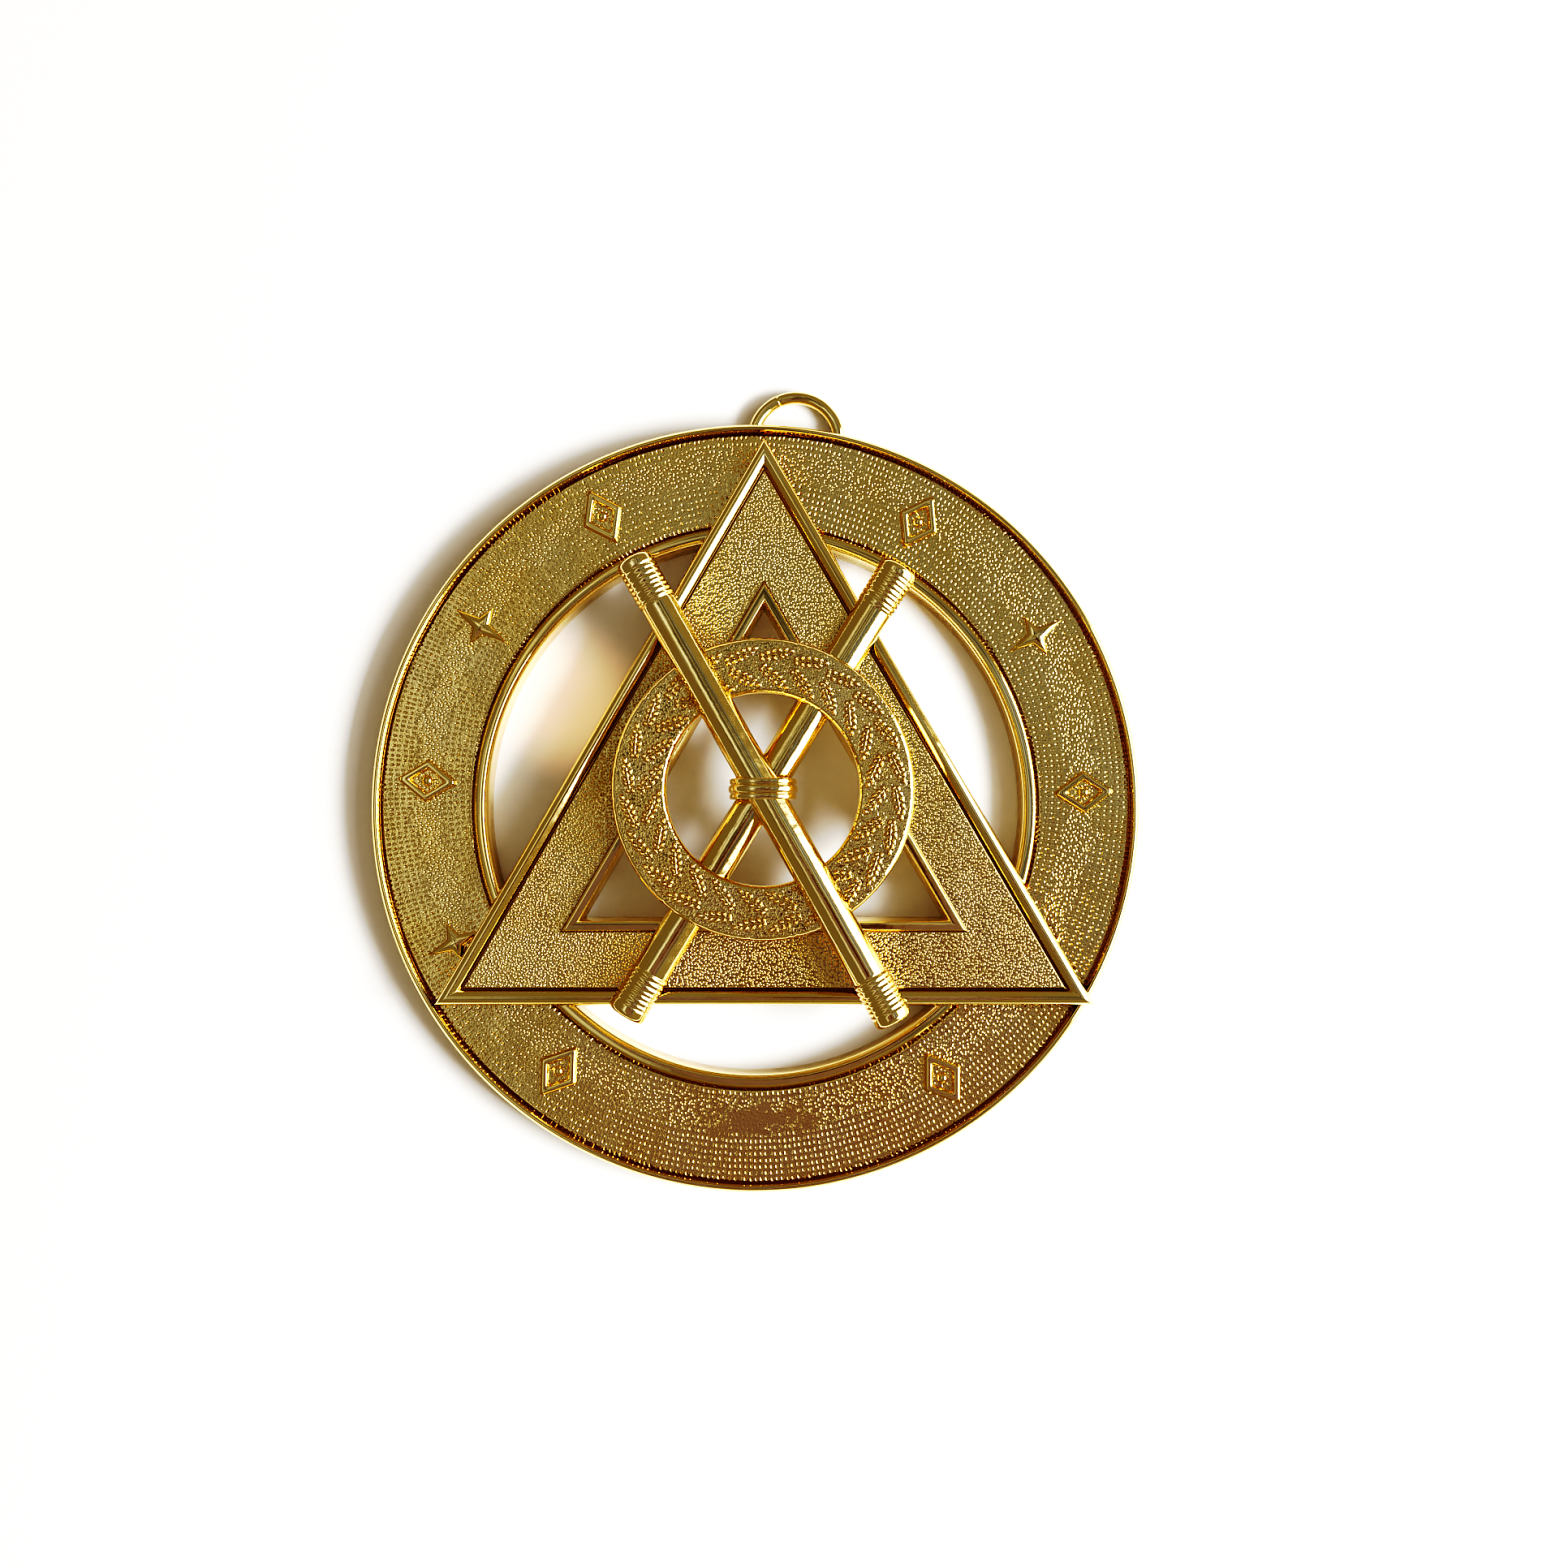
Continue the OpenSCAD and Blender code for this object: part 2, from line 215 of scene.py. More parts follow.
def mesh_of(name, rings, closed):
    """Mesh through rings of points: the last ring joins the first, or each end is capped"""
    counts = [len(ring) for ring in rings]
    starts = np.concatenate(([0], np.cumsum(counts)[:-1]))
    faces = []
    for k in range(len(rings) - 1):
        faces += strip(starts[k], counts[k], starts[k + 1], counts[k + 1])
    if closed:
        faces += strip(starts[-1], counts[-1], starts[0], counts[0])
    else:
        faces.append((starts[0] + np.arange(counts[0]))[::-1].tolist())
        faces.append((starts[-1] + np.arange(counts[-1])).tolist())
    mesh = bpy.data.meshes.new(name)
    mesh.from_pydata((np.vstack(rings) * MM).tolist(), [], faces)
    mesh.polygons.foreach_set("use_smooth", np.ones(len(faces), bool))
    mesh.update()
    return mesh


def shown(name, data):
    """Puts a mesh, a light or a camera into the scene"""
    thing = bpy.data.objects.new(name, data)
    bpy.context.scene.collection.objects.link(thing)
    return thing


def add_piece(mesh, material, node):
    """Shows the mesh as a piece that stands for a node of model.glb"""
    piece = shown(mesh.name, mesh)
    mesh.materials.append(material)
    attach(piece, ROOT)
    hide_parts(node)
    return piece


def mark(mesh, name, shares):
    """Stores a share from 0 to 1 for each point, which the materials read"""
    layer = mesh.attributes.new(name, "FLOAT", "POINT")
    layer.data.foreach_set("value", np.asarray(shares, np.float32))


def circle(count):
    """Directions of points round a circle, counterclockwise"""
    angle = np.arange(count) * 2 * math.pi / count
    return np.column_stack((np.cos(angle), np.sin(angle)))


def level_ring(outline, centre, z):
    return np.column_stack((outline + centre, np.full(len(outline), z)))


def ruffle(ring, height, length, seed):
    """Moves a ring's points up and down by smooth random waves"""
    ring[:, 2] += height * waves(ring[:, 0], ring[:, 1], length, seed)


# Ring band

BAND_COLUMNS = 480
FIELD_ROWS = 24
# The field's own piece: edges, how far it reaches down, and its waves' height, length and seed
FIELD_FROM = FIELD_OUT_R - 0.06
FIELD_TO = FIELD_IN_R + 0.04
FIELD_SUNK = 0.3
FIELD_WAVES = (0.02, 2.2, 3)
# The band's bed under it
BED_FROM = FIELD_OUT_R - 0.15
BED_TO = FIELD_IN_R + 0.12
# The creases where the rims meet the field, which get painted shade, lie between these radii and below this
# height
CREASES_FROM = FIELD_IN_R - 0.3
CREASES_TO = FIELD_OUT_R + 0.14
CREASES_BELOW = 2.0
# Section of the outer rim as [distance in from the band's edge, height]
OUTER_RIM = [
    (0.15, 0), (0.03, 0.03), (0, 0.15), (0, 1.85), (0.02, 2.02), (0.07, 2.13), (0.24, 2.31), (0.31, 2.37),
    (0.4, 2.398), (0.5, 2.4), (0.58, 2.39), (0.63, 2.35), (0.68, 2.25), (0.78, 1.86), (0.83, 1.75),
    (0.9, 1.68)]
# Sections of the inner rim and the wall's foot as [distance out from the hole's top or foot, height]
INNER_RIM = [
    (1.5, 1.68), (1.42, 1.75), (1.36, 1.84), (1.2, 2.16), (1.1, 2.3), (1.0, 2.35), (0.6, 2.395),
    (0.45, 2.4), (0.36, 2.37), (0.28, 2.3), (0.08, 2.04), (0.02, 1.95), (0, 1.86)]
HOLE_FOOT = [(0.02, 0.12), (0.12, 0)]


def ring_band(material):
    around = circle(BAND_COLUMNS)
    bed = BAND_FIELD_Z - FIELD_SUNK / 2
    section = [(BAND_R - inside, z) for inside, z in OUTER_RIM]
    section += [(BED_FROM, bed), (BED_TO, bed)]
    section += [(HOLE_TOP_R + outside, z) for outside, z in INNER_RIM]
    section += [(HOLE_R + outside, z) for outside, z in HOLE_FOOT]
    rings = [level_ring(around * radius, BAND_CENTRE, z) for radius, z in section]
    mesh = mesh_of("ring_band_gilt", rings, True)
    # Painted shade: the creases where the rims meet the field are marked to be darkened
    crease_shaded = [CREASES_FROM < radius < CREASES_TO and z < CREASES_BELOW for radius, z in section]
    mark(mesh, "hollow", np.repeat(crease_shaded, BAND_COLUMNS))
    return add_piece(mesh, material, "ring_band")


def band_field(material):
    """The pitted field between the band's rims, as its own closed piece"""
    around = circle(BAND_COLUMNS)
    rings = [level_ring(around * FIELD_FROM, BAND_CENTRE, BAND_FIELD_Z - FIELD_SUNK)]
    for radius in np.linspace(FIELD_FROM, FIELD_TO, FIELD_ROWS):
        ring = level_ring(around * radius, BAND_CENTRE, BAND_FIELD_Z)
        ruffle(ring, *FIELD_WAVES)
        rings.append(ring)
    rings.append(level_ring(around * FIELD_TO, BAND_CENTRE, BAND_FIELD_Z - FIELD_SUNK))
    mesh = mesh_of("band_field_gilt", rings, True)
    mark(mesh, "satin", np.ones(len(mesh.vertices)))
    return add_piece(mesh, material, "ring_band")


# Ornaments on the band

ORNAMENT_COUNT = 11
ORNAMENT_FIRST = math.radians(143.5)
ORNAMENT_STEP = math.radians(28.9)
ORNAMENT_L = 6.3
ORNAMENT_W = 4.4
ORNAMENT_H = 0.55
ROOT_DEEP = 0.15
# Section of a lozenge's line: [share of its width, share of its height]
LINE = [(0.0, 0.0), (0.05, 0.2), (0.13, 0.6), (0.2, 0.86), (0.29, 0.98), (0.42, 1), (0.58, 1),
        (0.71, 0.98), (0.8, 0.86), (0.87, 0.6), (0.95, 0.2), (1.0, 0.0)]
LINE_W = 0.9
BEAD_R = 0.55
BEAD_POINTS = 32
BEAD_ROWS = 10
BEAD_TOP = math.radians(86)
# Star: waist, heights of foot and edge, and shares of a side and of the way out where points stand
STAR_WAIST = ORNAMENT_W / 5
STAR_FOOT_Z = 0.06
STAR_EDGE_Z = 0.1
STAR_SIDE = (0, 0.03, 0.1, 0.5, 0.9, 0.97)
STAR_ROWS = (0.97, 0.9, 0.8, 0.65, 0.45, 0.2, 0.03)


def polygon_outline(corners, round_r, arc_points, side_points):
    """Outline of a convex polygon whose corners are rounded, counterclockwise"""
    points = []
    count = len(corners)
    for k, corner in enumerate(corners):
        after = corners[(k + 1) % count]
        to_last = corners[k - 1] - corner
        to_next = after - corner
        to_last /= np.linalg.norm(to_last)
        to_next /= np.linalg.norm(to_next)
        half = math.acos(np.clip(to_last @ to_next, -1, 1)) / 2
        start = corner + to_last * round_r / math.tan(half)
        end = corner + to_next * round_r / math.tan(half)
        way = (to_last + to_next) / np.linalg.norm(to_last + to_next)
        middle = corner + way * round_r / math.sin(half)
        first = math.atan2(*(start - middle)[::-1])
        turn = (math.atan2(*(end - middle)[::-1]) - first) % (2 * math.pi)
        for share in np.linspace(0, 1, arc_points):
            angle = first + turn * share
            points.append(middle + round_r * np.array([math.cos(angle), math.sin(angle)]))
        last = after - to_next * round_r / math.tan(half)
        for share in np.linspace(0, 1, side_points + 2)[1:-1]:
            points.append(end + (last - end) * share)
    return np.array(points)


def placed(ring, turn, place):
    """Turns a ring of points about Z and moves it"""
    c, s = math.cos(turn), math.sin(turn)
    return ring @ np.array([[c, s, 0], [-s, c, 0], [0, 0, 1]]) + place


def lozenge_rings():
    half_l, half_w = ORNAMENT_L / 2, ORNAMENT_W / 2
    corners = np.array([[0, half_l], [-half_w, 0], [0, -half_l], [half_w, 0]])
    outline = polygon_outline(corners, round_r=0.3, arc_points=7, side_points=8)
    reach = half_l * half_w / math.hypot(half_l, half_w)
    rings = [level_ring(outline, 0, -ROOT_DEEP)]
    for across, height in LINE:
        rings.append(level_ring(outline * (1 - LINE_W * across / reach), 0, ORNAMENT_H * height))
    rings.append(level_ring(outline * (1 - LINE_W / reach), 0, -ROOT_DEEP))
    return rings


def bead_rings():
    around = circle(BEAD_POINTS) * BEAD_R
    rings = [level_ring(around, 0, -ROOT_DEEP)]
    for angle in np.linspace(0, BEAD_TOP, BEAD_ROWS):
        rings.append(level_ring(around * math.cos(angle), 0, ORNAMENT_H * math.sin(angle)))
    return rings


def star_rings():
    """Star with four points and a rounded ridge out to each of them"""
    tips = [ORNAMENT_L / 2, STAR_WAIST, ORNAMENT_W / 2, STAR_WAIST] * 2
    corners = [tip * np.array([-math.sin(k * math.pi / 4), math.cos(k * math.pi / 4)])
               for k, tip in enumerate(tips)]
    outline = []
    for k, corner in enumerate(corners):
        after = corners[(k + 1) % len(corners)]
        outline += [corner + (after - corner) * share for share in STAR_SIDE]
    outline = np.array(outline)
    rings = [level_ring(outline, 0, -ROOT_DEEP), level_ring(outline, 0, STAR_FOOT_Z)]
    for share in STAR_ROWS:
        z = STAR_EDGE_Z + (ORNAMENT_H - STAR_EDGE_Z) * math.sqrt(1 - share ** 2)
        rings.append(level_ring(outline * share, 0, z))
    return rings


def ornaments(material):
    for k in range(ORNAMENT_COUNT):
        turn = ORNAMENT_FIRST - k * ORNAMENT_STEP
        x = BAND_CENTRE[0] - ORNAMENT_R * math.sin(turn)
        y = BAND_CENTRE[1] + ORNAMENT_R * math.cos(turn)
        place = np.array([x, y, BAND_FIELD_Z])
        if k % 2 == 0:
            shapes = [("lozenge", lozenge_rings(), True), ("bead", bead_rings(), False)]
        else:
            shapes = [("star", star_rings(), False)]
        for name, rings, closed in shapes:
            mesh = mesh_of(f"{name}_{k + 1}", [placed(ring, turn, place) for ring in rings], closed)
            add_piece(mesh, material, "ring_band")


# Triangular frame

FRAME_COLUMNS = 120
FRAME_FIELD_ROWS = 16
# Sections as [distance in from the side, height above the frame's back]
FRAME_RIM = [
    (0.14, 0), (0.05, 0.02), (0.04, 0.1), (0.3, 1.22), (0.36, 1.36), (0.44, 1.46), (0.62, 1.6),
    (0.78, 1.67), (0.92, 1.698), (1.06, 1.7), (1.12, 1.685), (1.18, 1.65), (1.48, 1.43), (1.54, 1.37),
    (1.58, 1.3), (1.68, 1.1), (1.74, 1.06), (1.8, 1.08), (1.88, 1.17), (1.95, 1.2)]
FRAME_BORDER = [
    (7.3, 1.2), (7.36, 1.21), (7.42, 1.3), (7.5, 1.58), (7.56, 1.66), (7.63, 1.7), (7.76, 1.7), (8.2, 1.7),
    (8.3, 1.69), (8.36, 1.64), (8.42, 1.5), (8.78, 0.14), (8.75, 0.03), (8.66, 0)]
# The field between them: its edges, its waves' height, length and seed, and the creases at its two sides,
# which get painted shade
FRAME_FIELD_FROM = FRAME_RIM[-1][0] + 0.05
FRAME_FIELD_TO = FRAME_BORDER[0][0] - 0.04
FRAME_WAVES = (0.03, 1.8, 8)
FRAME_CREASES = [(1.6, 1.9), (7.3, 7.48)]
# Shares of a side at which the points next to a corner stand, and where the even ones start
CORNER_SHARES = np.array([0, 0.0012, 0.004, 0.010])
EVEN_FROM = 0.02


def triangle_outline():
    """The frame's full outline, counterclockwise, with points close together at its corners"""
    corners = [2 * FRAME_REACH * np.array([math.cos(a), math.sin(a)]) for a in np.radians([90, 210, 330])]
    even = np.linspace(EVEN_FROM, 1 - EVEN_FROM, FRAME_COLUMNS - 2 * len(CORNER_SHARES) + 1)
    shares = np.concatenate((CORNER_SHARES, even, 1 - CORNER_SHARES[:0:-1]))[:, None]
    sides = zip(corners, corners[1:] + corners[:1])
    return np.vstack([corner + (after - corner) * shares for corner, after in sides])


def triangle_frame(material):
    outline = triangle_outline()
    across = np.linspace(FRAME_FIELD_FROM, FRAME_FIELD_TO, FRAME_FIELD_ROWS)
    field = [(inside, FRAME_FIELD_T) for inside in across]
    section = FRAME_RIM + field + FRAME_BORDER
    rings = []
    for inside, height in section:
        ring = level_ring(outline * (1 - inside / FRAME_REACH), FRAME_CENTRE, FRAME_Z + height)
        if FRAME_FIELD_FROM < inside < FRAME_FIELD_TO:
            ruffle(ring, *FRAME_WAVES)
        rings.append(ring)
    mesh = mesh_of("triangle_frame_gilt", rings, True)
    satin = [0.0] * len(FRAME_RIM) + [1.0] * len(field) + [0.0] * len(FRAME_BORDER)
    mark(mesh, "satin", np.repeat(satin, len(outline)))
    # Painted shade: the creases beside the field are marked to be darkened
    crease_shaded = [any(low < inside < high for low, high in FRAME_CREASES) for inside, _ in section]
    mark(mesh, "hollow", np.repeat(crease_shaded, len(outline)))
    return add_piece(mesh, material, "triangle_frame")


# Spaces that the rods take, for the pieces round them

def across_rod(x, y, lean):
    """Distance of a point from a rod's middle line"""
    return x * math.cos(lean) + y * math.sin(lean)


def under_space(x, y):
    """Height of the space round the rod underneath"""
    radius = (UNDER_W ** 2 / 4 + UNDER_H ** 2) / (2 * UNDER_H)
    off = np.clip((radius + SLOT_GAP) ** 2 - across_rod(x, y, UNDER_LEAN) ** 2, 0, None)
    return np.clip(UNDER_H - radius + np.sqrt(off), 0, None)


def over_space(x, y):
    """Height of the space round the rod on top"""
    radius = OVER_W / 2
    across = across_rod(x, y, OVER_LEAN)
    off = np.clip((radius + SLOT_GAP) ** 2 - across ** 2, 0, None)
    return np.where(np.abs(across) < radius + SLOT_GAP, OVER_H - radius + np.sqrt(off), 0)


# Wreath

WREATH_COLUMNS = 900
WREATH_TOP_ROWS = 74
WREATH_BACK_ROWS = 18
WREATH_PIXEL = 0.025
LEAF_PAIRS = 24
LEAF_L = 3.4
LEAF_TURN = 9.4
LEAF_INSET = 1.55
OUTER_LEAF_LEAN = 16
INNER_LEAF_LEAN = -35
# How deep the ground between the leaves is sunk
GROUND_DEEP = 0.08
# Leaflets of one half of a leaf: [share of the way from the stalk, distance from the vein, half length]
LEAFLETS = [
    (0.08, 0.22, 0.19), (0.25, 0.31, 0.24), (0.43, 0.35, 0.26), (0.61, 0.32, 0.25), (0.78, 0.24, 0.21)]
LEAFLET_HALF_W = 0.165
LEAFLET_SPLAY = 0.7
LEAFLET_POWER = 0.7
LEAFLET_SLIP = 0.012
LEAFLET_HEIGHTS = (0.34, 0.43)
LEAFLET_LENGTHS = (0.9, 1.1)
# The other mounds of a leaf as (half length, half width, height, power), and where the last two stand
LEAF_BASE = (LEAF_L * 0.5, 0.66, 0.05, 0.4)
LEAF_TIP = (0.26, 0.18, 0.38, 0.6)
LEAF_VEIN = (LEAF_L * 0.46, 0.06, 0.26, 0.5)
TIP_AT = 0.94
VEIN_AT = 0.42
# Grains of the ground
GRAINS = 2600
WREATH_SEED = 37
GRAIN_LENGTHS = (0.1, 0.2)
GRAIN_HALF_W = 0.1
GRAIN_HEIGHTS = (0.03, 0.09)
# Edge of the wreath as [distance in from it, height]
WREATH_EDGE = [
    (0, 0), (0, 0.5), (0, 1.3), (0.02, WREATH_T - BEVEL_DROP), (0.1, WREATH_T - 0.3),
    (0.3, WREATH_T - 0.06)]
# Heights between which the relief comes in, and above which hollows get painted shade and the surface is
# satin
RELIEF_FROM = 1.2
RELIEF_FULL = 1.4
HOLLOWS_ABOVE = 1.5
SATIN_ABOVE = 1.75
# How far round a place its mean height is taken, and how deep below that a hollow gets the fullest painted
# shade
HOLLOW_REACH = 0.15
HOLLOW_FULL = 0.13
# The relief fades towards both edges, as if it began this far beyond them
FADE_START = 0.02


def draw_leaf(relief, x, y, turn, random):
    """Leaf with a vein, rounded leaflets on both sides of it and one at its tip"""
    c, s = math.cos(turn), math.sin(turn)

    def mound(share, off, splay, shape):
        along = (share - 0.5) * LEAF_L
        relief.mound(x + along * c - off * s, y + along * s + off * c, turn + splay, *shape)

    mound(0.5, 0, 0, LEAF_BASE)
    for share, off, half_l in LEAFLETS:
        for side in (-1, 1):
            slip = random.normal(0, LEAFLET_SLIP)
            height = random.uniform(*LEAFLET_HEIGHTS)
            length = half_l * random.uniform(*LEAFLET_LENGTHS)
            shape = (length, LEAFLET_HALF_W, height, LEAFLET_POWER)
            mound(share + slip, side * off, side * LEAFLET_SPLAY, shape)
    mound(TIP_AT, 0, 0, LEAF_TIP)
    mound(VEIN_AT, 0, 0, LEAF_VEIN)


def draw_ground(relief, random):
    """Small grains all over the wreath, which show between its leaves"""
    for _ in range(GRAINS):
        angle = random.uniform(0, 2 * math.pi)
        radius = math.sqrt(random.uniform(WREATH_HOLE_R ** 2, WREATH_R ** 2))
        length = random.uniform(*GRAIN_LENGTHS)
        turn = random.uniform(0, math.pi)
        shape = (length, GRAIN_HALF_W, random.uniform(*GRAIN_HEIGHTS), 1.0)
        relief.mound(radius * math.cos(angle), radius * math.sin(angle), turn, *shape)


def wreath_relief():
    relief = Relief((0, 0), WREATH_R + 0.5, WREATH_PIXEL)
    random = np.random.default_rng(WREATH_SEED)
    draw_ground(relief, random)
    rows = [(WREATH_R - LEAF_INSET, OUTER_LEAF_LEAN), (WREATH_HOLE_R + LEAF_INSET, INNER_LEAF_LEAN)]
    for k in range(LEAF_PAIRS):
        angle = math.radians(LEAF_TURN + k * 360 / LEAF_PAIRS)
        for radius, lean in rows:
            turn = angle - math.pi / 2 + math.radians(lean)
            draw_leaf(relief, radius * math.cos(angle), radius * math.sin(angle), turn, random)
    return relief


def wreath_section():
    """Closed section as [radius, height]: over the top from the outer edge, and back underneath"""
    section = [(WREATH_R - inside, z) for inside, z in WREATH_EDGE]
    top = np.linspace(WREATH_R - BEVEL_W, WREATH_HOLE_R + BEVEL_W, WREATH_TOP_ROWS)
    section += [(radius, WREATH_T) for radius in top]
    section += [(WREATH_HOLE_R + inside, z) for inside, z in WREATH_EDGE[:0:-1]]
    back = np.linspace(WREATH_HOLE_R, WREATH_R, WREATH_BACK_ROWS)
    return section + [(radius, 0) for radius in back[:-1]]


def wreath(material):
    relief = wreath_relief()
    # How far each place lies below its surroundings: the map for the painted shade in the wreath's hollows
    hollow = relief.hollows(HOLLOW_REACH, HOLLOW_FULL)
    around = circle(WREATH_COLUMNS)
    section = wreath_section()
    rings = []
    hollows = []
    for radius, height in section:
        x, y = (around * radius).T
        share = smooth_step(RELIEF_FROM, RELIEF_FULL, height)
        from_edge = min(WREATH_R - radius, radius - WREATH_HOLE_R)
        fade = smooth_step(0.0, BEVEL_W, from_edge + FADE_START)
        z = height + (relief.read(x, y) * share - GROUND_DEEP * share) * fade
        in_slot = np.abs(across_rod(x, y, OVER_LEAN)) < OVER_W / 2 + SLOT_GAP
        z = np.where(in_slot, np.minimum(z, WREATH_T - SLOT_DEEP), z)
        z = np.maximum(z, under_space(x, y))
        rings.append(np.column_stack((x + EMBLEM_CENTRE[0], y + EMBLEM_CENTRE[1], z + EMBLEM_Z)))
        hollows.append(hollow.read(x, y) * fade * (height > HOLLOWS_ABOVE))
    mesh = mesh_of("wreath_gilt", rings, True)
    mark(mesh, "satin", np.repeat([height > SATIN_ABOVE for _, height in section], WREATH_COLUMNS))
    # The painted shade of the hollows is stored for the material
    mark(mesh, "hollow", np.concatenate(hollows))
    return add_piece(mesh, material, "wreath")


# Rods

ROD_STEP = 0.1
# Stations close together at a tip, and where the even ones start and end from the two tips
TIP_STATIONS = np.array([0, 0.03, 0.08, 0.16, 0.26, 0.38])
EVEN_STARTS = 0.5
EVEN_ENDS = 0.45
DOME_POINTS = 33
SKIRT_POINTS = 4
BASE_POINTS = 9
BASE_EDGE = 0.06
ABOVE_BASE = 0.07
# The ferrule's foot slopes from the first to the second distance past its length
FERRULE_SLOPE = (0.12, -0.05)
# Ring grooves: how many, where they start, and the ranges of their pitch, half width and depth
GROOVES = 8
FIRST_GROOVE = 0.75
GROOVE_PITCHES = (0.42, 0.56)
GROOVE_HALF = 0.16
GROOVE_WIDTHS = (0.8, 1.2)
GROOVE_DEEP = 0.13
GROOVE_DEPTHS = (0.6, 1.1)
# Unevenness of the grooves' depth and of the shaft: its share, the length of its waves, and how
# many times as fast it changes across the rod and along it
WOBBLE = 0.25
WOBBLE_L = 0.9
WOBBLE_ACROSS = 1.2
RIPPLE = 0.0035
RIPPLE_L = 1.2
RIPPLE_ACROSS = 0.9
RIPPLE_ALONG = 0.35
RIPPLE_FROM = 40


def groove_depth(from_tip, random):
    """Depth of the ring grooves in a ferrule at each distance from its tip"""
    depth = np.zeros_like(from_tip)
    place = FIRST_GROOVE
    for _ in range(GROOVES):
        place += random.uniform(*GROOVE_PITCHES)
        half = GROOVE_HALF * random.uniform(*GROOVE_WIDTHS)
        dip = np.clip(1 - np.abs(from_tip - place) / half, 0, 1)
        depth = np.maximum(depth, GROOVE_DEEP * random.uniform(*GROOVE_DEPTHS) * dip)
    return depth


def rod_section(radius, centre_z):
    """Closed section of a rod: over its round top to the right, and back along its base"""
    spread = math.acos(np.clip(-centre_z / radius, -1, 1)) if centre_z < 0 else math.pi / 2
    angle = np.linspace(-spread, spread, DOME_POINTS)
    x = radius * np.sin(angle)
    z = centre_z + radius * np.cos(angle)
    if centre_z > 0:
        skirt_z = np.linspace(centre_z, BASE_EDGE, SKIRT_POINTS)[1:]
        side = np.full(SKIRT_POINTS - 1, radius)
        x = np.concatenate((-side, x, side))
        z = np.concatenate((skirt_z[::-1], z, skirt_z))
    base_x = np.linspace(x[-1] - BASE_EDGE, x[0] + BASE_EDGE, BASE_POINTS)
    return np.concatenate((x, base_x)), np.concatenate((z, np.zeros(BASE_POINTS)))


def rod_stations():
    even = np.arange(EVEN_STARTS, ROD_L - EVEN_ENDS, ROD_STEP)
    return np.concatenate((TIP_STATIONS, even, ROD_L - TIP_STATIONS[::-1]))


def rod(name, node, material, width, height, lean, cut, seed):
    """Rod lying through the emblem's centre; cut gives the height of what it has to clear"""
    dome = min(width / 2, height)
    shaft_r = (width ** 2 / 4 + dome ** 2) / (2 * dome)
    centre_z = height - shaft_r
    random = np.random.default_rng(seed)
    stations = rod_stations()
    from_tip = np.minimum(stations, ROD_L - stations)
    short = np.clip(TIP_ROUND - from_tip, 0, None)
    rounding = TIP_ROUND - np.sqrt(np.clip(TIP_ROUND ** 2 - short ** 2, 0, None))
    slope_from, slope_to = FERRULE_L + np.array(FERRULE_SLOPE)
    ferrule = FERRULE_STEP * smooth_step(slope_from, slope_to, from_tip)
    lower = groove_depth(stations, random)
    upper = groove_depth(ROD_L - stations, random)
    rings = []
    for k, station in enumerate(stations):
        x, z = rod_section(shaft_r + ferrule[k] - rounding[k], centre_z)
        wobble = 1 + WOBBLE * waves(x * WOBBLE_ACROSS, station + z, WOBBLE_L, seed + 1)
        shrink = 1 - (lower[k] + upper[k]) * wobble / shaft_r
        across = x * RIPPLE_ACROSS + RIPPLE_FROM
        ripple = 1 + RIPPLE * waves(across, station * RIPPLE_ALONG + z, RIPPLE_L, seed + 2)
        x = x * shrink * ripple
        z = np.where(z > ABOVE_BASE, centre_z + (z - centre_z) * np.minimum(shrink * ripple, 1.0), z)
        y = np.full(len(x), station - ROD_L / 2)
        turned = placed(np.column_stack((x, y, z)), lean, 0)
        turned[:, 2] = np.maximum(turned[:, 2], cut(turned[:, 0], turned[:, 1]))
        rings.append(turned + np.array([*EMBLEM_CENTRE, EMBLEM_Z]))
    return add_piece(mesh_of(name, rings, False), material, node)


def below_over(x, y):
    """What the rod on top lies over: the wreath's slot and the rod underneath"""
    radius = np.hypot(x, y)
    on_wreath = (radius > WREATH_HOLE_R - SLOT_GAP) & (radius < WREATH_R + SLOT_GAP)
    return np.maximum(np.where(on_wreath, WREATH_T - SLOT_DEEP + SLOT_GAP, 0), under_space(x, y))


def nothing_below(x, y):
    return np.zeros_like(x)


# Binding

TIE_ROWS = 61
TIE_STEPS = 64
TIE_SQUARENESS = 2.6
TIE_GROOVE = 0.16
# Waves of its surface: height, length and seed, and how often they come round it and along it
TIE_WAVES = (0.012, 1.0, 61)
WAVES_ROUND = 3
WAVES_ALONG = 2
# Least thickness over what it binds, and how far in its inner wall stands
TIE_LEAST_T = 0.08
TIE_INNER = 0.96


def tie_swell(y):
    """How far the three turns stand out from the binding's arch"""
    half_middle = TIE_MIDDLE / 2
    half_turn = TIE_TURN / 2
    in_middle = np.abs(y) < half_middle
    share = np.where(in_middle, y / half_middle, (np.abs(y) - half_middle - half_turn) / half_turn)
    arch = np.sqrt(np.clip(1 - share ** 2, 0, 1))
    top = np.where(in_middle, TIE_SWELL, 0)
    return top - (TIE_GROOVE + top) * (1 - arch)


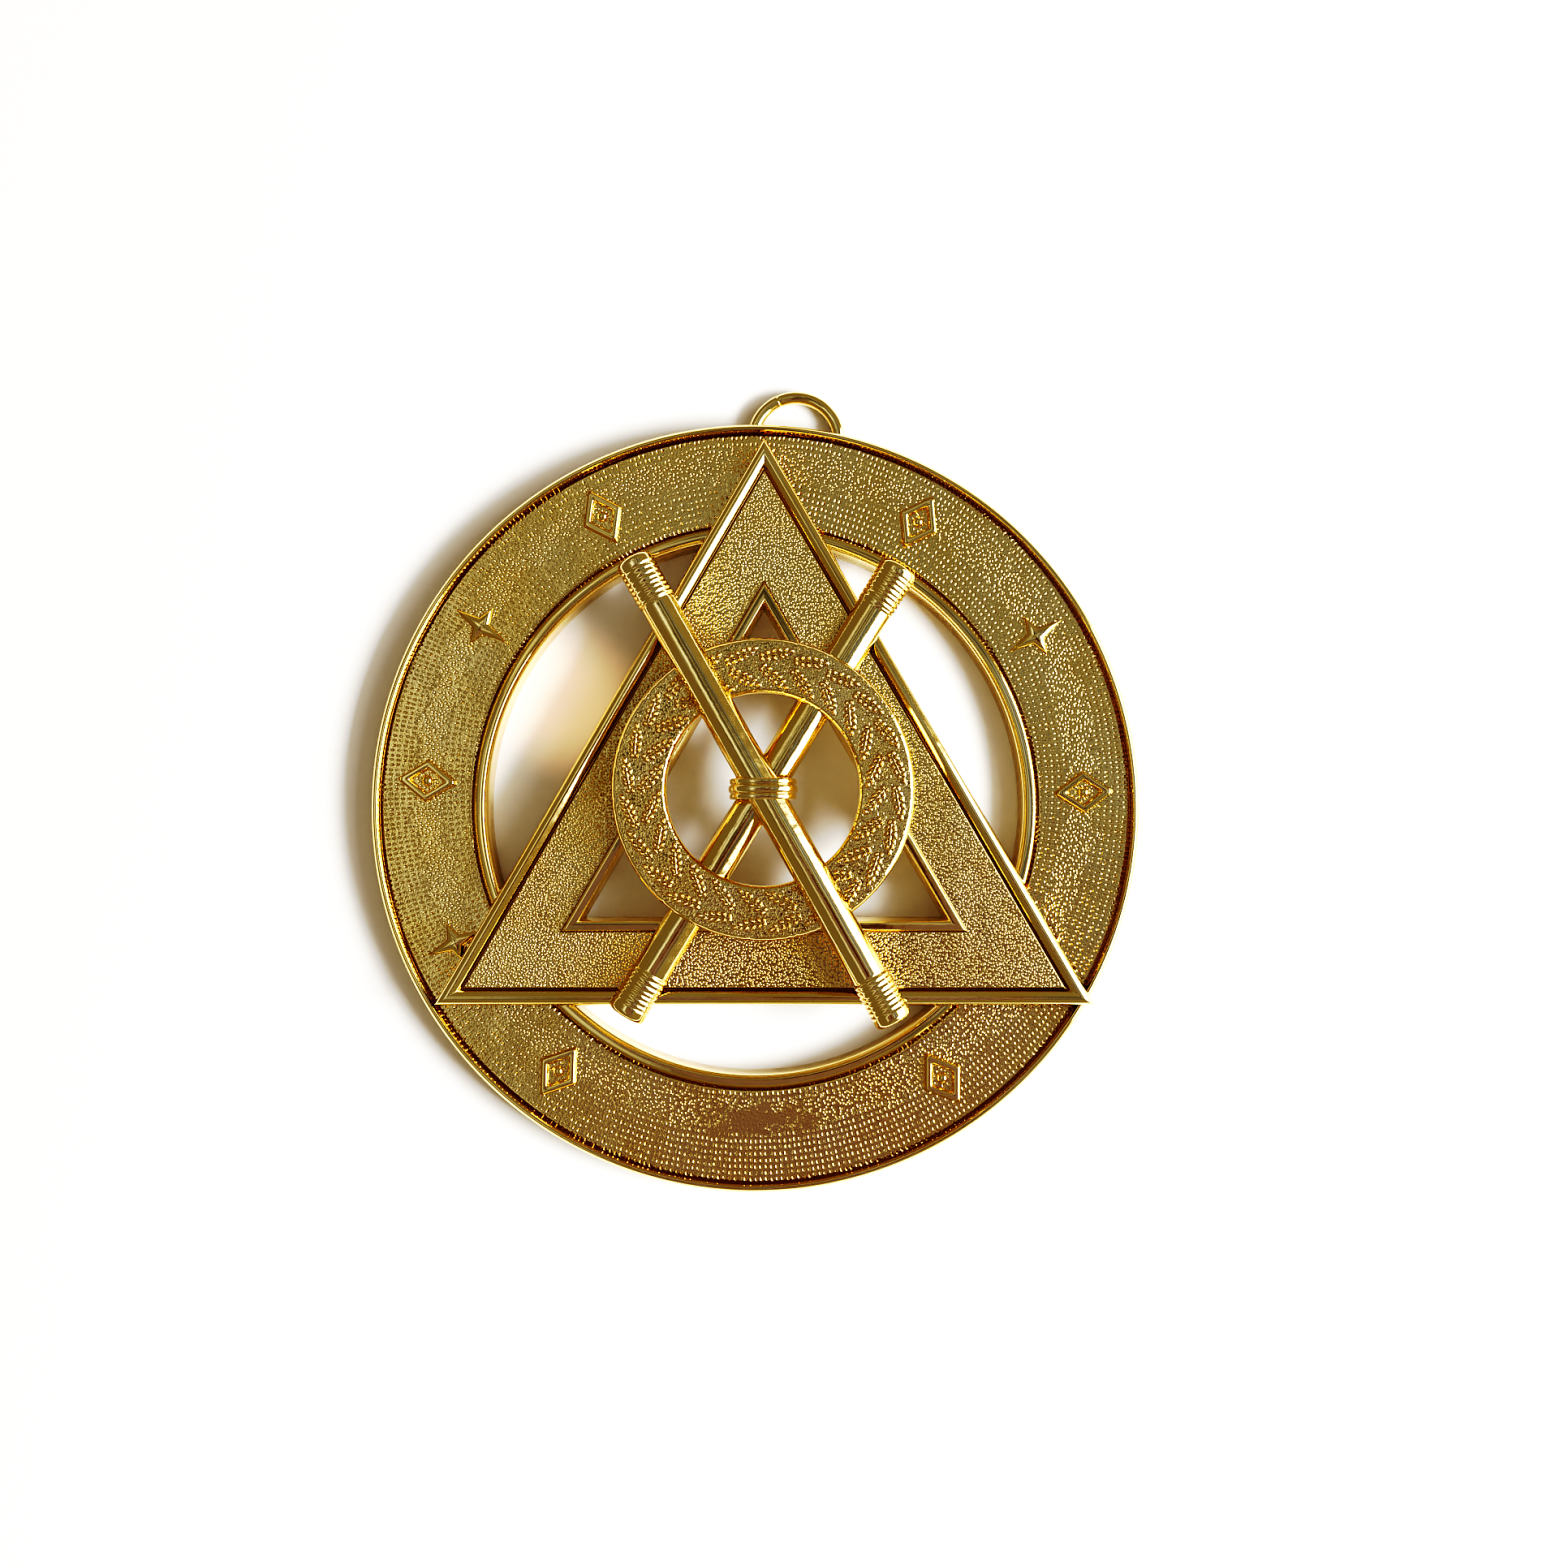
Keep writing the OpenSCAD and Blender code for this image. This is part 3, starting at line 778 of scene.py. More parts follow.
def binding(material):
    depth = TIE_MIDDLE / 2 + TIE_TURN
    angle = np.linspace(math.pi, 0, TIE_STEPS)
    c, s = np.cos(angle), np.sin(angle)
    across = np.sign(c) * np.abs(c) ** (2 / TIE_SQUARENESS)
    up = s ** (2 / TIE_SQUARENESS)
    wave_h, wave_l, seed = TIE_WAVES
    rings = []
    for y in np.linspace(-depth, depth, TIE_ROWS):
        wave = wave_h * waves(across * WAVES_ROUND, y * WAVES_ALONG, wave_l, seed)
        swell = np.minimum(tie_swell(y) + wave, TIE_SWELL)
        x = (TIE_W / 2 + swell) * across
        z = (OVER_H + TIE_T + swell) * up
        inner_x = x[::-1] * TIE_INNER
        space = np.maximum(over_space(inner_x, y), under_space(inner_x, y))
        inner_z = np.clip(np.minimum(space, z[::-1] - TIE_LEAST_T), 0, None)
        xs = np.concatenate((x, inner_x))
        zs = np.concatenate((z, inner_z))
        ring = np.column_stack((xs, np.full(len(xs), y), zs))
        rings.append(ring + np.array([*EMBLEM_CENTRE, EMBLEM_Z]))
    return add_piece(mesh_of("binding_gilt", rings, False), material, "binding")


# Suspension loop

LOOP_COLUMNS = 180
WIRE_POINTS = 28
WIRE_WAVE_H = 0.006
WIRE_WAVE_L = 0.7
WIRE_WAVES = 3
WIRE_SEED = 71
# The ends of the bent wire meet here
SEAM_AT = math.radians(114)
SEAM_HALF = math.radians(1.3)
SEAM_DEEP = 0.07
SEAM_COLUMNS = 13
# Groove for the wire in the band's back, whose cutter reaches down to this height
GROOVE_COLUMNS = 128
GROOVE_POINTS = 15
GROOVE_FOOT = -1.0


def suspension_loop(material):
    near_seam = SEAM_AT + SEAM_HALF * np.linspace(-1.5, 1.5, SEAM_COLUMNS)
    rest = SEAM_AT + np.linspace(2 * SEAM_HALF, 2 * math.pi - 2 * SEAM_HALF, LOOP_COLUMNS)
    angle = np.concatenate((near_seam, rest))
    from_seam = np.abs((angle - SEAM_AT + math.pi) % (2 * math.pi) - math.pi)
    dip = SEAM_DEEP * np.clip(1 - from_seam / SEAM_HALF, 0, 1)
    rings = []
    for turn in np.arange(WIRE_POINTS) * 2 * math.pi / WIRE_POINTS:
        wave = waves(angle * WIRE_WAVES, turn, WIRE_WAVE_L, WIRE_SEED)
        wire = WIRE_R - dip - WIRE_WAVE_H * (1 + wave)
        radius = LOOP_LINE_R + wire * math.cos(turn)
        x = LOOP_CENTRE[0] + radius * np.cos(angle)
        y = LOOP_CENTRE[1] + radius * np.sin(angle)
        rings.append(np.column_stack((x, y, WIRE_R + wire * math.sin(turn))))
    return add_piece(mesh_of("suspension_loop_gilt", rings, True), material, "suspension_loop")


def cut_loop_groove(band):
    """Cuts the groove for the loop's wire into the band's back"""
    around = circle(GROOVE_COLUMNS)
    radius = WIRE_R + SLOT_GAP
    roof = np.linspace(0, math.pi, GROOVE_POINTS)
    section = [(radius * math.cos(angle), WIRE_R + radius * math.sin(angle)) for angle in roof]
    section = [(radius, GROOVE_FOOT), *section, (-radius, GROOVE_FOOT)]
    rings = [level_ring(around * (LOOP_LINE_R + across), LOOP_CENTRE, z) for across, z in section]
    cutter = shown("groove_cutter", mesh_of("groove_cutter", rings, True))
    modifier = band.modifiers.new("groove", "BOOLEAN")
    modifier.operation = "DIFFERENCE"
    modifier.solver = "MANIFOLD"
    modifier.object = cutter
    bpy.context.view_layer.update()
    cut = bpy.data.meshes.new_from_object(band.evaluated_get(bpy.context.evaluated_depsgraph_get()))
    band.modifiers.clear()
    band.data = cut
    bpy.data.objects.remove(cutter)


# Materials

PALE_GOLD = (1.0, 0.78, 0.37)
DEEP_GOLD = (1.0, 0.725, 0.28)
# Colour of the painted shade that darkens hollows, creases and pits
SHADE_GOLD = (0.34, 0.13, 0.05)
# Patches of deep gold as (patches per mm, detail), and the parts of a noise over which looks change
TONE_PATCHES = (0.18, 4)
TONE_CHANGES = (0.35, 0.7)
GLOSS_CHANGES = (0.3, 0.75)
GLOSS_DETAIL = 4
EDGE_CHANGES = (0.3, 0.7)
# Gloss as (least roughness, greatest, patches per mm, what satin adds)
SATIN_GLOSS = (0.06, 0.1, 0.8, 0.01)
CHASED_GLOSS = (0.06, 0.11, 1.2, 0.01)
POLISHED_GLOSS = (0.06, 0.14, 0.7)
# How much of a hollow's tone, and of a pit's, is painted shade in dark gold
BAND_SHADE = 0.85
PIT_SHADE = 0.12
FRAME_SHADE = 0.8
CHASED_SHADE = 0.75
# Layers of relief: a noise as (waves per mm, detail), and its height
BROAD = ((0.5, 2), 0.012)
BAND_GRAIN = ((6, 3), 0.02)
FRAME_GRAIN = ((5, 3), 0.026)
DENTS = ((0.35, 2), 0.05)
STREAKS = ((3, 4), 0.006)
STREAK_STRETCH = 12
FINE = ((14, 2), 0.0015)
# Layers of spots: (spots per mm, least and greatest radius), and their height
FRAME_SPOTS = ((3.8, 0.05, 0.5), 0.04)
CHASED_SPOTS = ((4.5, 0.05, 0.5), 0.014)
# Height of the frame's spots at its left and at its right, as shares, and how far out these lie
SPOT_SHARES = (1.9, 0.75)
SPOT_REACH = 16
# Pits of the band's field: how many to a ring beside each rim, the distances between them, and sizes
OUTER_PITS = 461
INNER_PITS = 358
PIT_PITCH = 0.5
PIT_ROW_PITCH = 0.62
PIT_ROWS_START = 0.45
PIT_HALF_W = 0.16
PIT_HALF_L = 0.26
PIT_FLAT = 0.15
PIT_JITTER = 0.2
PIT_DEEP = 0.08
PIT_DEPTHS = (0.3, 1.2)
# Loose pits between the rows: (pits per mm, radii), depth, middle line, edge, and its unevenness
LOOSE_PITS = (2.7, 0.08, 0.45)
LOOSE_DEPTH = 0.75
LOOSE_R = ORNAMENT_R - 0.3
LOOSE_EDGE = (1.1, 1.9)
LOOSE_UNEVEN = (0.5, 0.8)
# Worn patch at the bottom: place, half sizes, edge, its unevenness, and how deep pits are in it
BARE_PATCH = (0.3, -32.8)
BARE_SIZE = (6.0, 1.8)
BARE_EDGE = (0.6, 1.1)
BARE_UNEVEN = (0.9, 0.4)
BARE_DEPTH = 0.1


def new_material(name):
    material = bpy.data.materials.new(name)
    material.use_nodes = True
    return material


class Nodes:
    """A node tree, with short names for what is done in it"""

    def __init__(self, tree):
        self.tree = tree

    def feed(self, socket, value):
        """Sets a socket to a number, a vector or a colour, or joins it to another node's output"""
        if isinstance(value, (int, float)):
            socket.default_value = value
        elif isinstance(value, tuple):
            socket.default_value = (*value, 1)[:len(socket.default_value)]
        else:
            self.tree.links.new(value, socket)

    def add(self, kind, inputs=None, **settings):
        node = self.tree.nodes.new(kind)
        for key, value in settings.items():
            setattr(node, key, value)
        for key, value in (inputs or {}).items():
            self.feed(node.inputs[key], value)
        return node

    def maths(self, operation, first, second=0.0):
        return self.add("ShaderNodeMath", {0: first, 1: second}, operation=operation).outputs[0]

    def ranged(self, output, low, high, to_low, to_high, smooth=False):
        """Spreads an output's values from low to high over to_low to to_high"""
        inputs = {"Value": output, "From Min": low, "From Max": high, "To Min": to_low, "To Max": to_high}
        kind = "SMOOTHSTEP" if smooth else "LINEAR"
        return self.add("ShaderNodeMapRange", inputs, interpolation_type=kind).outputs["Result"]

    def product(self, *factors):
        result = factors[0]
        for factor in factors[1:]:
            result = self.maths("MULTIPLY", result, factor)
        return result

    def mixed(self, share, first, second):
        """Colour that is first where share is 0 and second where it is 1"""
        inputs = {"Factor": share, 6: first, 7: second}
        return self.add("ShaderNodeMix", inputs, data_type="RGBA").outputs[2]

    def noise_at(self, place, scale, detail=2.0):
        inputs = {"Vector": place, "Scale": scale, "Detail": detail}
        return self.add("ShaderNodeTexNoise", inputs).outputs["Fac"]

    def vectors(self, operation, first, second, result="Vector"):
        """Vector operation on an output and three fixed numbers"""
        inputs = {0: first, 1: second}
        return self.add("ShaderNodeVectorMath", inputs, operation=operation).outputs[result]


class Gilt(Nodes):
    """Gold plate whose tone, gloss and fine relief vary from place to place"""

    def __init__(self, name):
        self.material = new_material(name)
        super().__init__(self.material.node_tree)
        self.shader = self.tree.nodes["Principled BSDF"].inputs
        self.shader["Metallic"].default_value = 1.0
        inputs = {0: self.add("ShaderNodeTexCoord").outputs["Object"], "Scale": 1 / MM}
        self.place = self.add("ShaderNodeVectorMath", inputs, operation="SCALE").outputs["Vector"]

    def noise(self, per_mm, detail=3.0, stretch=None):
        """Noise whose waves are 1 / per_mm millimetres across, stretched along a direction in degrees"""
        source = self.place
        if stretch is not None:
            turn, times = stretch
            inputs = {"Vector": source, "Rotation": (0, 0, -math.radians(turn)), "Scale": (1 / times, 1, 1)}
            source = self.add("ShaderNodeMapping", inputs).outputs["Vector"]
        return self.noise_at(source, per_mm, detail)

    def attribute(self, name):
        return self.add("ShaderNodeAttribute", attribute_name=name).outputs["Fac"]

    def on_satin(self, output):
        return self.product(output, self.attribute("satin"))

    def tone(self, hollow=None, shade_share=0.0):
        """Gold that is pale or deep in patches, and darker with painted shade in hollows"""
        deep = self.ranged(self.noise(*TONE_PATCHES), *TONE_CHANGES, 0, 1)
        gold = self.mixed(deep, PALE_GOLD, DEEP_GOLD)
        if hollow is not None:
            gold = self.mixed(self.ranged(hollow, 0, 1, 0, shade_share), gold, SHADE_GOLD)
        self.feed(self.shader["Base Color"], gold)

    def gloss(self, low, high, per_mm, satin_more=0.0):
        """Roughness from low to high in patches, and more where the surface is satin"""
        roughness = self.ranged(self.noise(per_mm, GLOSS_DETAIL), *GLOSS_CHANGES, low, high)
        if satin_more:
            roughness = self.maths("ADD", roughness, self.product(self.attribute("satin"), satin_more))
        self.feed(self.shader["Roughness"], roughness)

    def layer(self, waves_of, height, satin=False, stretch=None):
        """Layer of relief from a noise, everywhere or on satin alone"""
        output = self.noise(*waves_of, stretch)
        return self.on_satin(output) if satin else output, height

    def relief(self, layers):
        """Fine relief: each layer is an output and the height in millimetres that it is worth"""
        normal = None
        for output, height in layers:
            inputs = {"Height": output, "Strength": 1.0, "Distance": abs(height) * MM}
            if normal is not None:
                inputs["Normal"] = normal
            normal = self.add("ShaderNodeBump", inputs, invert=height < 0).outputs["Normal"]
        self.feed(self.shader["Normal"], normal)

    def spots(self, per_mm, small, large):
        """Round spots without order: 1 in the middle of each and 0 between them"""
        inputs = {"Vector": self.place, "Scale": per_mm}
        spots = self.add("ShaderNodeTexVoronoi", inputs, voronoi_dimensions="2D")
        return self.ranged(spots.outputs["Distance"], small, large, 1, 0, smooth=True)

    def uneven(self, per_mm, half):
        """Noise from -half to half, for an edge that wanders"""
        return self.ranged(self.noise(per_mm, 2), *EDGE_CHANGES, -half, half)

    def ways(self):
        """Distances to the right of the middle and up from it"""
        way = self.add("ShaderNodeSeparateXYZ", {"Vector": self.place}).outputs
        return way["X"], way["Y"]

    def polar(self):
        """Angle round the middle, and distance from it"""
        x, y = self.ways()
        squares = self.maths("ADD", self.product(x, x), self.product(y, y))
        return self.maths("ARCTAN2", y, x), self.maths("SQRT", squares)

    def chance(self, column, row):
        """Random red, green and blue shares of a cell"""
        cell = self.add("ShaderNodeCombineXYZ", {"X": column, "Y": row})
        inputs = {"Vector": cell.outputs["Vector"]}
        noise = self.add("ShaderNodeTexWhiteNoise", inputs, noise_dimensions="2D")
        split = self.add("ShaderNodeSeparateColor", {"Color": noise.outputs["Color"]}).outputs
        return split["Red"], split["Green"], split["Blue"]

    def pit_rows(self, count, first):
        """Pits in rings round the band, as many to a ring as count says, from the ring of radius first"""
        angle, radius = self.polar()
        u = self.product(angle, count / (2 * math.pi))
        v = self.maths("DIVIDE", self.maths("SUBTRACT", radius, first), PIT_ROW_PITCH)
        column, row = self.maths("ROUND", u), self.maths("ROUND", v)
        aside, along, deep = self.chance(column, row)
        squares = []
        for place, middle, slip, half in (
                (u, column, aside, PIT_HALF_W / PIT_PITCH), (v, row, along, PIT_HALF_L / PIT_ROW_PITCH)):
            off = self.maths("ADD", self.maths("SUBTRACT", place, middle), -PIT_JITTER / 2)
            off = self.maths("ADD", off, self.product(slip, PIT_JITTER))
            squares.append(self.maths("POWER", self.maths("DIVIDE", off, half), 2.0))
        away = self.maths("SQRT", self.maths("ADD", *squares))
        pit = self.ranged(away, PIT_FLAT, 1, 1, 0, smooth=True)
        return self.product(pit, self.ranged(deep, 0, 1, *PIT_DEPTHS))

    def blend(self, share, first, second):
        """First where share is 0, second where it is 1"""
        more = self.product(self.maths("SUBTRACT", second, first), share)
        return self.maths("ADD", first, more)

    def away_from(self, patch, size):
        """Low within a patch of the given half sizes and 1 beyond it, with an uneven edge"""
        off = self.vectors("SUBTRACT", self.place, (*patch, 0))
        share = self.vectors("DIVIDE", off, (*size, 50))
        length = self.vectors("LENGTH", share, (0, 0, 0), "Value")
        edge = self.maths("ADD", length, self.uneven(*BARE_UNEVEN))
        return self.ranged(edge, *BARE_EDGE, BARE_DEPTH, 1, smooth=True)

    def band_pits(self):
        """Rows of pits beside both rims, and pits without order between them"""
        radius = self.polar()[1]
        outer = self.pit_rows(OUTER_PITS, FIELD_OUT_R - PIT_ROWS_START)
        inner = self.pit_rows(INNER_PITS, FIELD_IN_R + PIT_ROWS_START)
        rows = self.blend(self.maths("GREATER_THAN", radius, ORNAMENT_R), inner, outer)
        loose = self.product(self.spots(*LOOSE_PITS), LOOSE_DEPTH)
        from_middle = self.maths("ABSOLUTE", self.maths("SUBTRACT", radius, LOOSE_R))
        edge = self.maths("ADD", from_middle, self.uneven(*LOOSE_UNEVEN))
        pits = self.blend(self.ranged(edge, *LOOSE_EDGE, 1, 0), rows, loose)
        return self.product(pits, self.away_from(BARE_PATCH, BARE_SIZE))


def band_gilt():
    gilt = Gilt("band_gilt")
    pits = gilt.on_satin(gilt.band_pits())
    # Painted shade: the band's creases and, more faintly, its pits darken the gold
    painted_shade = gilt.maths("MAXIMUM", gilt.attribute("hollow"), gilt.product(pits, PIT_SHADE))
    gilt.tone(painted_shade, BAND_SHADE)
    gilt.gloss(*SATIN_GLOSS)
    gilt.relief([gilt.layer(*BROAD), (pits, -PIT_DEEP), gilt.layer(*BAND_GRAIN, satin=True)])
    return gilt.material


def frame_gilt():
    gilt = Gilt("frame_gilt")
    coarser = gilt.ranged(gilt.ways()[0], -SPOT_REACH, SPOT_REACH, *SPOT_SHARES)
    sizes, spot_h = FRAME_SPOTS
    spots = gilt.product(gilt.on_satin(gilt.spots(*sizes)), coarser)
    # Painted shade darkens the frame's creases
    gilt.tone(gilt.attribute("hollow"), FRAME_SHADE)
    gilt.gloss(*SATIN_GLOSS)
    gilt.relief([gilt.layer(*BROAD), (spots, spot_h), gilt.layer(*FRAME_GRAIN, satin=True)])
    return gilt.material


def chased_gilt():
    gilt = Gilt("chased_gilt")
    # Painted shade darkens the hollows between the wreath's leaflets
    gilt.tone(gilt.attribute("hollow"), CHASED_SHADE)
    gilt.gloss(*CHASED_GLOSS)
    sizes, spot_h = CHASED_SPOTS
    gilt.relief([(gilt.on_satin(gilt.spots(*sizes)), spot_h)])
    return gilt.material


def polished_gilt(name, turn):
    gilt = Gilt(name)
    gilt.tone()
    gilt.gloss(*POLISHED_GLOSS)
    streaks = gilt.layer(*STREAKS, stretch=(turn, STREAK_STRETCH))
    gilt.relief([gilt.layer(*DENTS), streaks, gilt.layer(*FINE)])
    return gilt.material


PAPER_TONES = [(0.7, 0.698, 0.69, 1), (0.74, 0.738, 0.73, 1)]
PAPER_GRAIN = 900
# Painted glow on the floor of the left opening: emission that stands in for the warm light which the band's
# wall throws there. Its place, how far it is even, how far it reaches, its strength and its colour
GLOW_AT = (-19.5, 9.0)
GLOW_EVEN = 2.5
GLOW_REACH = 9.0
PAINTED_GLOW = 0.76
GLOW_COLOUR = (1, 0.57, 0.26)


def table_paper():
    """Matte white floor with a faint grain and one painted warm glow, an emission standing in for light the
    band throws
    """
    material = new_material("table_paper")
    nodes = Nodes(material.node_tree)
    shader = nodes.tree.nodes["Principled BSDF"].inputs
    place = nodes.add("ShaderNodeTexCoord").outputs["Object"]
    ramp = nodes.add("ShaderNodeValToRGB", {"Fac": nodes.noise_at(place, PAPER_GRAIN)})
    for stop, tone in zip(ramp.color_ramp.elements, PAPER_TONES):
        stop.color = tone
    glow_at = (GLOW_AT[0] * MM, GLOW_AT[1] * MM, 0)
    away = nodes.vectors("DISTANCE", place, glow_at, "Value")
    # Painted light: the floor emits a warm glow round this place
    painted_glow = nodes.ranged(away, GLOW_EVEN * MM, GLOW_REACH * MM, PAINTED_GLOW, 0, smooth=True)
    looks = {
        "Base Color": ramp.outputs["Color"], "Roughness": 0.9, "Specular IOR Level": 0.1,
        "Emission Color": GLOW_COLOUR, "Emission Strength": painted_glow}
    for socket, value in looks.items():
        nodes.feed(shader[socket], value)
    return material


# Stage, light and camera

FLOOR_HALF = 260
FLOOR_DROP = 0.02
# Lamps to the right as (turn in degrees, half width, lowest and highest edge, radiance): a window,
# and a key lamp that gloss doesn't see
LAMPS_AWAY = 700
WINDOW = (-2, 425, 0, 800, 6.5)
KEY = (-15, 214, 300, 500, 125)
# Dark cards overhead that gloss alone sees, a wide one and a small one: two corners, height, colour
FLAG = [(-38, -170), (55, -10), 168, (0.15, 0.125, 0.155, 1)]
DARK_CORE = [(0, -46), (24, -8), 167, (0.06, 0.03, 0.027, 1)]
# A place in the room is a unit direction: to the right, towards the photo's top, and up.
# The ceiling takes over from the walls between two heights; its radiance as [to the right, radiance]
CEILING_STARTS = (0.7, 0.95)
CEILING = [
    (-0.5, 0.32), (-0.4, 0.95), (-0.3, 0.85), (-0.22, 0.44), (-0.13, 0.31), (-0.05, 0.26), (0.1, 0.32),
    (0.25, 0.36), (0.5, 0.36)]
CEILING_COLOUR = (0.97, 1.0, 1.06)
# Its changes as (from, to, share before, share after): in patches, and towards the bottom and the top
PATCHES = (0.4, 0.62, 0.5, 1.65)
PATCH_SCALE = 9.0
TO_BOTTOM = (-0.15, 0.0, 0.75, 1)
TO_TOP = (0.13, 0.22, 1, 1.05)
# It turns cool at the right, between two places
COOL_FROM_TO = (0.26, 0.36)
COOL_COLOUR = (0.8, 1.0, 1.6)
# The walls as (leftmost place, rightmost place, radiance there)
WALLS = (-0.5, 0.5, 0.28, 0.35)
WALLS_COLOUR = (1.0, 0.92, 0.72)
# Light that the room gives matte surfaces, and the white that the camera sees behind everything
FILL_COLOUR = (1.0, 0.82, 0.59)
FILL = 0.6
BACKDROP = 2.2
# Radiance that the picture shows as white, and the tone curve from it down to black
WHITE_LEVEL = 1.93
STEP_GAMMA = 2.2
TONE_CURVE = [
    (0.12, 0.02), (0.2, 0.07), (0.25, 0.125), (0.31, 0.21), (0.4, 0.4), (0.5, 0.595), (0.575, 0.72),
    (0.647, 0.8), (0.741, 0.87), (0.87, 0.955)]
SHARPNESS = 0.07
CAMERA_AT = (2.85, -5.4, 164.6)
CAMERA_TILT = math.radians(2)
LENS = 37.73


def sheet(name, low, high, z):
    """Level rectangle of the stage"""
    corners = [(low[0], low[1], z), (high[0], low[1], z), (high[0], high[1], z), (low[0], high[1], z)]
    mesh = bpy.data.meshes.new(name)
    mesh.from_pydata([[value * MM for value in corner] for corner in corners], [], [(0, 1, 2, 3)])
    stage = shown(name, mesh)
    return stage


def floor():
    table = sheet("table", (-FLOOR_HALF, -FLOOR_HALF), (FLOOR_HALF, FLOOR_HALF), -FLOOR_DROP)
    table.data.materials.append(table_paper())


def dark_card(name, low, high, z, colour):
    """Card over the table that only reflections show"""
    cloth = new_material(name + "_cloth")
    shader = cloth.node_tree.nodes["Principled BSDF"].inputs
    shader["Base Color"].default_value = colour
    shader["Roughness"].default_value = 1.0
    card = sheet(name, low, high, z)
    card.data.materials.append(cloth)
    card.visible_camera = False
    card.visible_diffuse = False
    card.visible_shadow = False


def lamp(name, turn, half_w, low, high, radiance):
    """Upright lamp that faces the middle of the table from the right"""
    turn = math.radians(turn)
    light = bpy.data.lights.new(name, "AREA")
    light.shape = "RECTANGLE"
    light.size = (high - low) * MM
    light.size_y = 2 * half_w * MM
    light.energy = radiance * math.pi * light.size * light.size_y
    holder = shown(name, light)
    place = (LAMPS_AWAY * math.cos(turn), LAMPS_AWAY * math.sin(turn), (low + high) / 2)
    holder.location = [value * MM for value in place]
    holder.rotation_euler = (0, math.radians(90), turn)
    holder.visible_camera = False
    return holder


def lamps():
    lamp("window", *WINDOW)
    key = lamp("key", *KEY)
    key.visible_glossy = False


class Room(Nodes):
    """Light of the room, which the world gives: a patchy ceiling and dim walls"""

    def __init__(self):
        world = bpy.data.worlds.new("room")
        bpy.context.scene.world = world
        world.use_nodes = True
        super().__init__(world.node_tree)
        self.tree.nodes.clear()
        self.place = self.add("ShaderNodeTexCoord").outputs["Generated"]
        way = self.add("ShaderNodeSeparateXYZ", {"Vector": self.place})
        self.right, self.top, self.height = way.outputs

    def background(self, colour, strength):
        inputs = {"Color": colour, "Strength": strength}
        return self.add("ShaderNodeBackground", inputs).outputs["Background"]

    def ceiling_steps(self):
        """The ceiling's radiance from left to right"""
        low, high = CEILING[0][0], CEILING[-1][0]
        peak = max(radiance for _, radiance in CEILING)
        ramp = self.add("ShaderNodeValToRGB", {"Fac": self.ranged(self.right, low, high, 0, 1)})
        steps = ramp.color_ramp.elements
        for x, _ in CEILING[1:-1]:
            steps.new((x - low) / (high - low))
        for step, (_, radiance) in zip(steps, CEILING):
            step.color = (*[radiance / peak] * 3, 1)
        return self.product(ramp.outputs["Color"], peak)

    def patches(self):
        return self.ranged(self.noise_at(self.place, PATCH_SCALE, 0.0), *PATCHES, smooth=True)

    def ceiling(self, share):
        low = self.ranged(self.top, *TO_BOTTOM)
        top = self.ranged(self.top, *TO_TOP)
        cool = self.ranged(self.right, *COOL_FROM_TO, 0, 1)
        radiance = self.product(self.ceiling_steps(), self.patches(), low, top, share)
        return self.background(self.mixed(cool, CEILING_COLOUR, COOL_COLOUR), radiance)

    def walls(self, share):
        return self.background(WALLS_COLOUR, self.product(self.ranged(self.right, *WALLS), share))

    def light(self):
        """Gloss sees the room, matte surfaces get an even fill, and the camera sees plain white"""
        in_ceiling = self.ranged(self.height, *CEILING_STARTS, 0, 1, smooth=True)
        in_walls = self.maths("SUBTRACT", 1.0, in_ceiling)
        both = self.add("ShaderNodeAddShader", {0: self.ceiling(in_ceiling), 1: self.walls(in_walls)})
        fill = self.background(FILL_COLOUR, FILL)
        backdrop = self.background((BACKDROP, BACKDROP, BACKDROP), 1.0)
        path = self.add("ShaderNodeLightPath").outputs
        seen = both.outputs["Shader"]
        for ray, light in (("Is Diffuse Ray", fill), ("Is Camera Ray", backdrop)):
            seen = self.add("ShaderNodeMixShader", {"Fac": path[ray], 1: seen, 2: light}).outputs["Shader"]
        self.add("ShaderNodeOutputWorld", {"Surface": seen})


